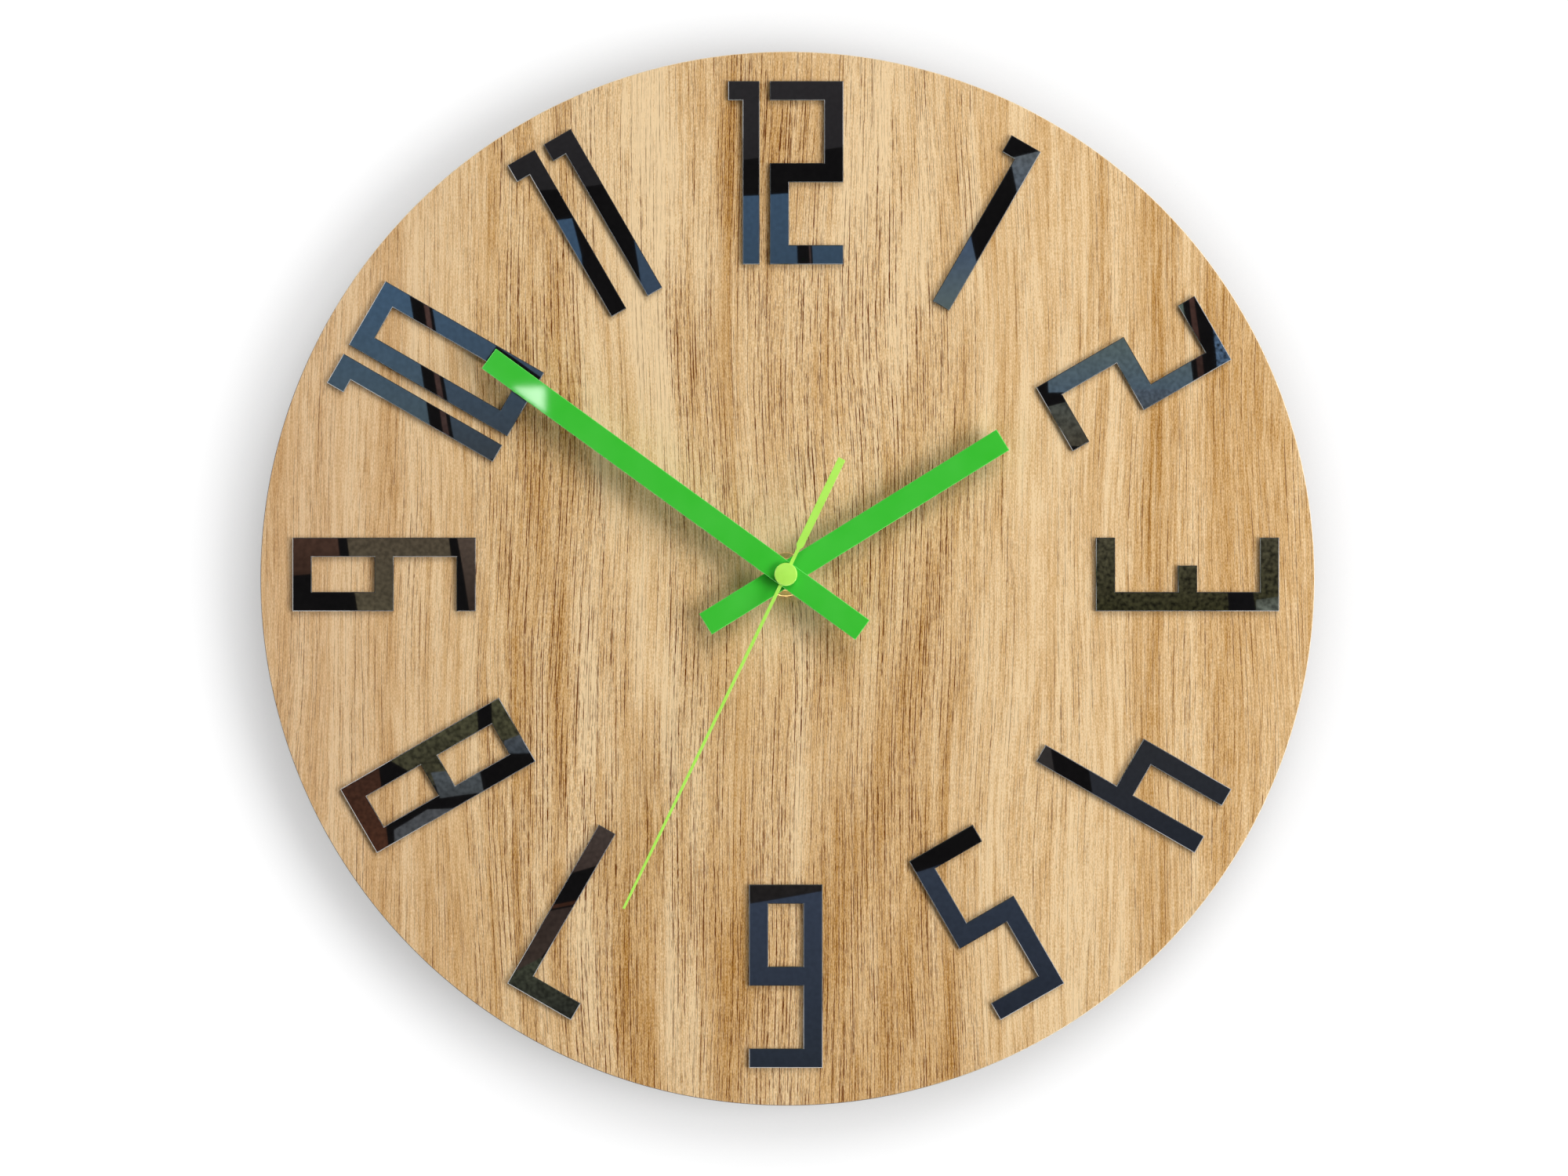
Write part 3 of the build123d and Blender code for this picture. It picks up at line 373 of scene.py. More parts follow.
finishes = {
    "oak_veneer": oak_veneer(
        "lacquered_oak_veneer",
        [(0.0, "#F4D6A8"), (0.25, "#E5C08D"), (0.5, "#D5AB73"), (0.75, "#BF8F4E"), (1.0, "#9E6A28")],
        "#64310A",
        "#D3AD8B",
    ),
    "bare_oak": veneer_edge(),
    "board_core": board_edge(),
    "black_acrylic": cast_acrylic("black_cast_acrylic", ("#060607", "#0A0A0B"), "#3A3A3A", 0.012, 0.14),
    "green_acrylic": cast_acrylic("green_cast_acrylic", ("#3AC332", "#46C83E"), "#5CCB54", 0.03, 0.8),
    # Lacquered sheet: an even lime film with a soft gloss
    "lime_metal": plain_stock("lime_lacquered_sheet", "#B8F860", "#B0F056", 6.0, 0.30, relief=0.004),
    # Turned brass: yellow metal with fine rings from the tool
    "brass": plain_stock("turned_brass", "#DCC083", "#C8A96B", 0.7, 0.45, 1.0, 0.01, (1, 5, 1)),
    # Rubber: nearly black, dull, with a dusty mottle
    "black_rubber": plain_stock("black_rubber", "#1A1A1A", "#121212", 0.5, 0.75, relief=0.03),
    # Moulded ABS: black, with the fine sparkle of an eroded mould
    "case_plastic": plain_stock("moulded_black_abs", "#2B2B2D", "#202022", 0.30, 0.46, relief=0.03),
    # Acetal: milky white and waxy
    "gear_plastic": plain_stock("white_acetal", "#EFECE2", "#DEDACB", 1.6, 0.36, relief=0.01),
    # Plated steel: cold grey with fine drawn lines
    "steel": plain_stock("plated_steel", "#C9CACB", "#A9ABAD", 0.25, 0.32, 1.0, 0.008, (1, 1, 0.1)),
    # Sintered ferrite: dark grey and grainy
    "magnet": plain_stock("sintered_ferrite", "#3A3A3D", "#26262A", 0.35, 0.6, 0.4, 0.02),
    # Enamelled copper wire: turns of orange metal, drawn coarser than the wire
    "copper_wire": plain_stock("enamelled_copper", "#C4753C", "#8E4A22", 0.3, 0.3, 1.0, 0.06, (0.05, 0.05, 1)),
    # Paper laminate: brown board
    "circuit_laminate": plain_stock("paper_laminate", "#9A7440", "#7C5B2F", 0.9, 0.5, relief=0.01),
    # Potting resin: a glossy black drop
    "chip_resin": plain_stock("potting_resin", "#121212", "#0A0A0A", 1.2, 0.2, relief=0.02),
    # Tinned can: bright soft metal
    "crystal_can": plain_stock("tinned_can", "#D8D8DA", "#BDBEC1", 0.6, 0.22, 1.0, 0.01),
    # Printed film jacket: dark film over the can
    "battery_jacket": plain_stock("printed_film_jacket", "#2C4A66", "#27425C", 2.5, 0.3, relief=0.004),
    # Pale film: the band printed round the positive end
    "battery_band": plain_stock("printed_film_band", "#C9CDD0", "#BABFC3", 2.5, 0.3, relief=0.004),
}


def show(piece, node, finish, extra=()):
    """Dresses a piece, and makes it ride with the body of a solid."""
    piece.data.materials.clear()
    for name in (finish, *extra):
        piece.data.materials.append(finishes[name])
    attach(piece, body_of[node])
    return piece


def made(name, shape, sharp=35.0):
    """An object from a bmesh, with smooth faces and sharp corners."""
    bmesh.ops.remove_doubles(shape, verts=shape.verts, dist=1e-7)
    bmesh.ops.recalc_face_normals(shape, faces=shape.faces)
    mesh = bpy.data.meshes.new(name)
    shape.to_mesh(mesh)
    shape.free()
    mesh.shade_smooth()
    mesh.set_sharp_from_angle(angle=math.radians(sharp))
    piece = bpy.data.objects.new(name, mesh)
    bpy.context.scene.collection.objects.link(piece)
    return piece


def turned(profile, place, steps, closed=True):
    """A bmesh of a profile turned all round: place gives the point of a profile point at an angle."""
    shape = bmesh.new()
    rings = []
    for point in profile:
        angles = [math.tau * step / steps for step in range(steps)]
        rings.append([shape.verts.new(place(*point, angle)) for angle in angles])
    pairs = list(zip(rings, rings[1:] + rings[:1])) if closed else list(zip(rings, rings[1:]))
    for inner, outer in pairs:
        for step in range(steps):
            after = (step + 1) % steps
            shape.faces.new((inner[step], inner[after], outer[after], outer[step]))
    return shape


def on_hand_axis(radius, depth, angle):
    """A place round the axis of the hands."""
    return Vector((radius * math.cos(angle), depth, radius * math.sin(angle)))


def rounded(piece, width, steps=2):
    """Rounds the sharp edges of a piece by a width in millimetres."""
    bevel = piece.modifiers.new("rounded_edges", "BEVEL")
    bevel.width = width * MM
    bevel.segments = steps
    bevel.limit_method = "ANGLE"
    bevel.angle_limit = math.radians(40)
    bevel.harden_normals = True
    return piece


def copied(node):
    """A bmesh of a solid with its faces welded."""
    shape = bmesh.new()
    shape.from_mesh(frame["nodes"][node].data)
    bmesh.ops.remove_doubles(shape, verts=shape.verts, dist=2e-6)
    bmesh.ops.dissolve_limit(shape, angle_limit=math.radians(0.2), verts=shape.verts, edges=shape.edges)
    return shape


def finished(node, shape, width, finish):
    """A piece with rounded edges that stands for a solid."""
    piece = rounded(made(node + "_finished", shape), width)
    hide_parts(node)
    return show(piece, node, finish)


def standing_for(node, name, shape, finish, sharp=35.0):
    """A piece built anew that stands for a solid."""
    piece = made(name, shape, sharp)
    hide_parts(node)
    return show(piece, node, finish)


# Solids that stay get their finish
for node, piece in frame["nodes"].items():
    piece.data.materials.clear()
    piece.data.materials.append(finishes[slot_of[node]])

# Board: three turned layers, bored on the hand axis, with a rounded rim at the front and back
RIM_ROUND = 0.3 * MM
RIM_STEPS = 5
DISC_STEPS = 512
bushing_low, bushing_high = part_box("threaded_bushing")
flange_radius = (bushing_high.x - bushing_low.x) / 2
BOARD_BORE = 4.2 * MM
# A face whose normal runs this much along the depth is flat; the rest is rim or bore
FLAT = 0.9


def on_board(radius, depth, angle):
    """The rim runs about the middle of the disc, the bore about the hand axis."""
    middle = disc_middle if radius > disc_radius / 2 else Vector()
    return Vector((middle.x + radius * math.cos(angle), depth, middle.z + radius * math.sin(angle)))


def board_layer(node, finish, rim_finish, round_front, round_back):
    """One turned layer: its finish on the flat faces and the rim's finish on the edge."""
    low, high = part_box(node)
    profile = [(BOARD_BORE, high.y), (BOARD_BORE, low.y)]
    quarter = [math.pi / 2 * step / RIM_STEPS for step in range(RIM_STEPS + 1)]
    for edge, rounding, turn in ((low.y, round_front, 1), (high.y, round_back, -1)):
        arc = [
            (disc_radius - rounding * (1 - math.sin(a)), edge + turn * rounding * (1 - math.cos(a)))
            for a in quarter
        ]
        corner = arc if rounding else [(disc_radius, edge)]
        profile += corner if turn > 0 else corner[::-1]
    piece = standing_for(node, node + "_disc", turned(profile, on_board, DISC_STEPS), finish, sharp=60.0)
    piece.data.materials.append(finishes[rim_finish])
    for face in piece.data.polygons:
        face.material_index = 0 if abs(face.normal.y) > FLAT else 1


board_layer("front_veneer", "oak_veneer", "bare_oak", RIM_ROUND, 0)
board_layer("board_core", "board_core", "board_core", 0, 0)
board_layer("back_veneer", "oak_veneer", "bare_oak", 0, RIM_ROUND)

# Second hand and its cap: soft pressed edges, and a cap with a rolled rim
finished("second_hand", copied("second_hand"), 0.1, "lime_metal")
cap_low, cap_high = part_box("second_hand_cap")
cap_radius = (cap_high.x - cap_low.x) / 2
CAP_ROLL = 0.45 * MM
CAP_STEPS = 6
cap_profile = [(0, cap_high.y), (cap_radius, cap_high.y)]
for step in range(CAP_STEPS + 1):
    turn = math.pi / 2 * step / CAP_STEPS
    cap_profile.append((cap_radius - CAP_ROLL * (1 - math.cos(turn)), cap_low.y + CAP_ROLL * (1 - math.sin(turn))))
cap_profile.append((0, cap_low.y))
standing_for("second_hand_cap", "second_hand_cap_rolled", turned(cap_profile, on_hand_axis, 96, closed=False),
             "lime_metal")

# Washer and gasket: turned rings with eased corners
EASE = 0.12 * MM
BUSHING_PLAY = 0.3 * MM
bushing_radius = BOARD_BORE - BUSHING_PLAY
for node, name, finish in (
    ("clamp_washer", "washer_eased", "brass"),
    ("rubber_gasket", "gasket_eased", "black_rubber"),
):
    low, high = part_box(node)
    radius = (high.x - low.x) / 2
    profile = [
        (bushing_radius, high.y), (bushing_radius, low.y + EASE), (bushing_radius + EASE, low.y),
        (radius - EASE, low.y), (radius, low.y + EASE), (radius, high.y - EASE), (radius - EASE, high.y),
    ]
    standing_for(node, name, turned(profile, on_hand_axis, 128), finish)

# Nut: six flats whose corners are turned off at the front
NUT_CHAMFER = math.tan(math.radians(30))
NUT_FLAT_FRONT = 0.97
nut_low, nut_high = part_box("clamp_nut")
flat_radius = (nut_high.z - nut_low.z) / 2


def on_nut(share, back, angle):
    """Share 0 is the bore and 1 the hexagon; the front falls away outside the circle of the flats."""
    from_flat = angle % (math.pi / 3) - math.pi / 6
    hexagon = flat_radius / math.cos(from_flat)
    radius = bushing_radius + (hexagon - bushing_radius) * share
    depth = nut_high.y if back else nut_low.y + max(0, radius - flat_radius * NUT_FLAT_FRONT) * NUT_CHAMFER
    return Vector((radius * math.cos(angle), depth, radius * math.sin(angle)))


nut_profile = [(0, True), (0, False), (0.55, False), (0.82, False), (0.9, False), (1, False), (1, True)]
standing_for("clamp_nut", "nut_chamfered", turned(nut_profile, on_nut, 144), "brass", sharp=25.0)

# Threaded bushing: a helix cut in the part that shows beyond the case
THREAD_PITCH = 0.75 * MM
THREAD_DEPTH = 0.4 * MM
THREAD_STEPS = 8
PIPE_BORE = 2.55 * MM
FLANGE_THICK = 0.6 * MM
thread_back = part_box("rubber_gasket")[1].y
flange_front = bushing_high.y - FLANGE_THICK


def on_thread(radius, depth, angle):
    """The helix is cut in the outside only, and eases in over its first turn."""
    cut = 0.0
    if radius == bushing_radius and depth < thread_back:
        turn = (depth / THREAD_PITCH + angle / math.tau) % 1
        ease = min(1.0, (depth - bushing_low.y) / THREAD_PITCH)
        cut = THREAD_DEPTH * (abs(2 * turn - 1) if ease >= 1 else max(abs(2 * turn - 1), 1 - ease))
    return on_hand_axis(radius - cut, depth, angle)


thread_rows = int((thread_back - bushing_low.y) / THREAD_PITCH * THREAD_STEPS)
thread_profile = [(PIPE_BORE, bushing_low.y)]
for step in range(thread_rows + 1):
    thread_profile.append((bushing_radius, bushing_low.y + step * THREAD_PITCH / THREAD_STEPS))
thread_profile += [
    (bushing_radius, flange_front), (flange_radius, flange_front), (flange_radius, bushing_high.y),
    (PIPE_BORE, bushing_high.y),
]
standing_for("threaded_bushing", "bushing_threaded", turned(thread_profile, on_thread, 72), "brass", sharp=50.0)

# Movement case, cover, eye and knob, with the small roundings of moulded plastic
PANEL_RIM = 0.5 * MM
PANEL_SINK = 0.3 * MM
# The panel is what faces the wall, at the cover's back
PANEL_FLAT = 0.99
PANEL_BACK = -0.1 * MM
cover_shape = copied("movement_rear_cover")
back_faces = [f for f in cover_shape.faces if f.normal.y > PANEL_FLAT and f.calc_center_median().y > PANEL_BACK]
bmesh.ops.inset_region(cover_shape, faces=back_faces, thickness=PANEL_RIM, depth=0, use_even_offset=True)
sunk = {vertex for face in back_faces for vertex in face.verts}
bmesh.ops.translate(cover_shape, verts=list(sunk), vec=(0, -PANEL_SINK, 0))
finished("movement_rear_cover", cover_shape, 0.1, "case_plastic")
finished("movement_front_case", copied("movement_front_case"), 0.3, "case_plastic")
finished("hanging_eye", copied("hanging_eye"), 0.3, "case_plastic")
finished("setting_knob", copied("setting_knob"), 0.12, "case_plastic")

# Small moulded details of the case: each is an outline on the cover's panel, or on a side, with some height
case_low, case_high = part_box("movement_front_case")
cover_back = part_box("movement_rear_cover")[1].y
knob_low, knob_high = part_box("setting_knob")
knob_middle = ((knob_low.x + knob_high.x) / 2, (knob_low.z + knob_high.z) / 2)
battery_low, battery_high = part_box("battery")
MARK_HEIGHT = 0.2 * MM


def raised(shape, outline, depth, height):
    """Adds a prism that stands up from the cover's panel on an outline of right and up places."""
    lower = [shape.verts.new((x, depth, z)) for x, z in outline]
    upper = [shape.verts.new((x, depth + height, z)) for x, z in outline]
    shape.faces.new(lower)
    shape.faces.new(upper)
    for i in range(len(outline)):
        j = (i + 1) % len(outline)
        shape.faces.new((lower[i], lower[j], upper[j], upper[i]))


def bar(middle, width, height):
    """The outline of a bar about its middle."""
    x, z = middle
    return [(x - width / 2, z - height / 2), (x + width / 2, z - height / 2), (x + width / 2, z + height / 2),
            (x - width / 2, z + height / 2)]


# Plus and minus over the battery's ends
SIGN_SIZE = 4.0 * MM
SIGN_STROKE = 0.8 * MM
SIGN_ABOVE = 3.4 * MM
SIGN_INSET = 5 * MM
panel_depth = cover_back - PANEL_SINK
signs = bmesh.new()
sign_height = battery_high.z + SIGN_ABOVE
arm, stroke = SIGN_SIZE / 2, SIGN_STROKE / 2
plus = [(stroke, arm), (stroke, stroke), (arm, stroke), (arm, -stroke), (stroke, -stroke), (stroke, -arm)]
plus += [(-x, -z) for x, z in plus]
raised(signs, [(battery_high.x - SIGN_INSET + x, sign_height + z) for x, z in plus], panel_depth, MARK_HEIGHT)
raised(signs, bar((battery_low.x + SIGN_INSET, sign_height), SIGN_SIZE, SIGN_STROKE), panel_depth, MARK_HEIGHT)

# Arrows round the knob, both ways; angles in degrees from the top
ARROW_RADIUS = 9.6 * MM
ARROW_WIDTH = 0.7 * MM
ARROW_TURN = 70
ARROW_SWEEP = range(-22, 19, 4)
ARROW_HEAD = 9
for side in (1, -1):
    middle_angle = math.pi / 2 + side * math.radians(ARROW_TURN)
    sweep = [middle_angle + side * math.radians(step) for step in ARROW_SWEEP]
    outline = [(ARROW_RADIUS + ARROW_WIDTH / 2, a) for a in sweep]
    outline += [(ARROW_RADIUS + 3 * ARROW_WIDTH / 2, sweep[-1]),
                (ARROW_RADIUS, sweep[-1] + side * math.radians(ARROW_HEAD)),
                (ARROW_RADIUS - 3 * ARROW_WIDTH / 2, sweep[-1])]
    outline += [(ARROW_RADIUS - ARROW_WIDTH / 2, a) for a in reversed(sweep)]
    points = [(knob_middle[0] + r * math.cos(a), knob_middle[1] + r * math.sin(a)) for r, a in outline]
    raised(signs, points, panel_depth, MARK_HEIGHT)
show(rounded(made("cover_signs", signs), 0.05), "movement_rear_cover", "case_plastic")

# Round marks where pins pushed the moulding out
PIN_PLACES = [(-20.5, 17.5), (-20.5, -4.0), (21.5, 21.0), (-5.5, 20.5)]
PIN_RADIUS = 1.6 * MM
PIN_STEPS = 32
pins = bmesh.new()
for x, z in PIN_PLACES:
    around = [math.tau * step / PIN_STEPS for step in range(PIN_STEPS)]
    circle = [(x * MM + PIN_RADIUS * math.cos(a), z * MM + PIN_RADIUS * math.sin(a)) for a in around]
    raised(pins, circle, panel_depth, MARK_HEIGHT / 2)
show(rounded(made("pin_marks", pins), 0.03), "movement_rear_cover", "case_plastic")

# Clips that hold the cover to the case, and ribs on the sides
CLIP_LENGTH = 6.0 * MM
CLIP_PLACES = (12.5 * MM, -9.0 * MM)
CLIP_PROFILE = [(0.0, 6.2), (0.75, 5.4), (0.75, 1.9), (0.45, 0.5), (0.0, 0.5)]
clips = bmesh.new()
for side, wall in ((1, case_high.x), (-1, case_low.x)):
    for up in CLIP_PLACES:
        ends = []
        for z in (up - CLIP_LENGTH / 2, up + CLIP_LENGTH / 2):
            ends.append([clips.verts.new((wall + side * x * MM, -y * MM, z)) for x, y in CLIP_PROFILE])
        for end in ends:
            clips.faces.new(end)
        for i in range(len(CLIP_PROFILE)):
            j = (i + 1) % len(CLIP_PROFILE)
            clips.faces.new((ends[0][i], ends[0][j], ends[1][j], ends[1][i]))
show(rounded(made("cover_clips", clips), 0.12), "movement_front_case", "case_plastic")

RIB_COUNT = 5
RIB_SPACING = 1.6 * MM
RIB_HEIGHT = 0.35 * MM
RIB_MIDDLE = 2.0 * MM
RIB_ENDS = (-15.4 * MM, -2.4 * MM)
RIB_STEPS = 6
ribs = bmesh.new()
for side, wall in ((1, case_high.x), (-1, case_low.x)):
    for rib in range(RIB_COUNT):
        up = RIB_MIDDLE + (rib - (RIB_COUNT - 1) / 2) * RIB_SPACING
        rows = []
        for y in RIB_ENDS:
            arc = [math.pi * step / RIB_STEPS for step in range(RIB_STEPS + 1)]
            rows.append([ribs.verts.new((wall + side * RIB_HEIGHT * math.sin(a), y, up + RIB_HEIGHT * math.cos(a)))
                         for a in arc])
        for row in rows:
            ribs.faces.new(row)
        for i in range(RIB_STEPS + 1):
            j = (i + 1) % (RIB_STEPS + 1)
            ribs.faces.new((rows[0][i], rows[0][j], rows[1][j], rows[1][i]))
show(made("case_ribs", ribs), "movement_front_case", "case_plastic")

# Battery: a steel can with a dished end and a nub, in a film jacket that curls over both ends
battery_middle = (battery_low + battery_high) / 2
battery_radius = (battery_high.z - battery_low.z) / 2
NUB_LENGTH = 1.0 * MM
can_end = battery_high.x - NUB_LENGTH
FILM = 0.15 * MM
PALE_END = 11.0 * MM


def on_battery(radius, along, angle):
    """A place round the battery's axis, which runs from left to right."""
    return Vector((along, battery_middle.y + radius * math.cos(angle), battery_middle.z + radius * math.sin(angle)))


can_radius = battery_radius - FILM
can_profile = [
    (0, battery_low.x + 0.25 * MM), (4.4 * MM, battery_low.x + 0.25 * MM), (4.8 * MM, battery_low.x),
    (5.6 * MM, battery_low.x), (can_radius - 0.5 * MM, battery_low.x + 0.2 * MM),
    (can_radius, battery_low.x + 0.7 * MM), (can_radius, can_end - 0.7 * MM),
    (can_radius - 0.5 * MM, can_end - 0.25 * MM), (4.6 * MM, can_end - 0.15 * MM), (4.3 * MM, can_end - 0.4 * MM),
    (3.1 * MM, can_end - 0.4 * MM), (2.7 * MM, can_end), (2.7 * MM, battery_high.x - 0.3 * MM),
    (2.4 * MM, battery_high.x), (0, battery_high.x),
]
standing_for("battery", "battery_can", turned(can_profile, on_battery, 96, closed=False), "crystal_can")
film_profile = [
    (can_radius - 1.0 * MM, battery_low.x + 0.12 * MM), (can_radius - 0.4 * MM, battery_low.x + 0.15 * MM),
    (battery_radius - 0.15 * MM, battery_low.x + 0.45 * MM), (battery_radius, battery_low.x + 0.9 * MM),
    (battery_radius, can_end - PALE_END), (battery_radius, can_end - 0.9 * MM),
    (battery_radius - 0.15 * MM, can_end - 0.45 * MM), (can_radius - 0.4 * MM, can_end - 0.15 * MM),
    (can_radius - 1.0 * MM, can_end - 0.12 * MM), (can_radius - 1.0 * MM, can_end - 0.3 * MM),
    (can_radius - 0.1 * MM, can_end - 1.0 * MM), (can_radius - 0.1 * MM, battery_low.x + 1.0 * MM),
    (can_radius - 1.0 * MM, battery_low.x + 0.3 * MM),
]
film = show(made("battery_film", turned(film_profile, on_battery, 96)), "battery", "battery_jacket",
            ("battery_band",))
for face in film.data.polygons:
    face.material_index = 1 if face.center.x > can_end - PALE_END else 0

# Wall behind the clock, seen from the front only. For the camera it takes the lamps' light, as much of the glow as
# the clock leaves open and an even lift, which together are white outside the shadow.
WALL_GAP = 0.5 * MM
WALL_SIZE = 9.0
WALL_WHITE = (0.357, 0.36, 0.363, 1.0)
WALL_GLOW = 0.70
WALL_LIFT = 0.10
WALL_BOUNCE = (0.6, 0.6, 0.6, 1)
OPEN_REACH = 1.0
FIRST_HIT = 1.5


def stage_face(name, corners, material):
    """One flat face of the studio round the clock."""
    shape = bmesh.new()
    shape.faces.new([shape.verts.new(corner) for corner in corners])
    mesh = bpy.data.meshes.new(name)
    shape.to_mesh(mesh)
    shape.free()
    mesh.materials.append(material)
    face = bpy.data.objects.new(name, mesh)
    bpy.context.scene.collection.objects.link(face)
    return face


def white_wall():
    """White emulsion paint, rolled on: flat and even, with a soft shadow round the clock. It is clear from behind, and
    clear to the lamp behind it where that lights what the camera sees."""
    material = bpy.data.materials.new("rolled_white_emulsion")
    material.use_nodes = True
    tree = material.node_tree
    tree.nodes.clear()
    path = put(tree, "LightPath")
    white = put(tree, "MixRGB", {0: path.outputs["Is Camera Ray"], 1: WALL_BOUNCE, 2: WALL_WHITE})
    paint_coat = put(tree, "BsdfDiffuse", {"Color": white})
    left_open = put(tree, "AmbientOcclusion", {"Distance": OPEN_REACH}).outputs["AO"]
    level = put(tree, "Math", {0: left_open, 1: WALL_GLOW, 2: WALL_LIFT}, operation="MULTIPLY_ADD")
    level = put(tree, "Math", {0: level, 1: path.outputs["Is Camera Ray"]}, operation="MULTIPLY")
    paint_coat = put(tree, "AddShader", {0: paint_coat, 1: put(tree, "Emission", {"Strength": level})})
    first = put(tree, "Math", {0: path.outputs["Ray Depth"], 1: FIRST_HIT}, operation="LESS_THAN")
    lighting = put(tree, "Math", {0: path.outputs["Is Shadow Ray"], 1: first}, operation="MULTIPLY")
    behind = put(tree, "NewGeometry").outputs["Backfacing"]
    clear = put(tree, "Math", {0: behind, 1: lighting}, operation="MAXIMUM")
    wall_coat = put(tree, "MixShader", {0: clear, 1: paint_coat, 2: put(tree, "BsdfTransparent")})
    put(tree, "OutputMaterial", {0: wall_coat})
    return material


wall_corners = bar((0.0, 0.0), WALL_SIZE, WALL_SIZE)
stage_face("wall", [(x, WALL_GAP, z) for x, z in wall_corners], white_wall())

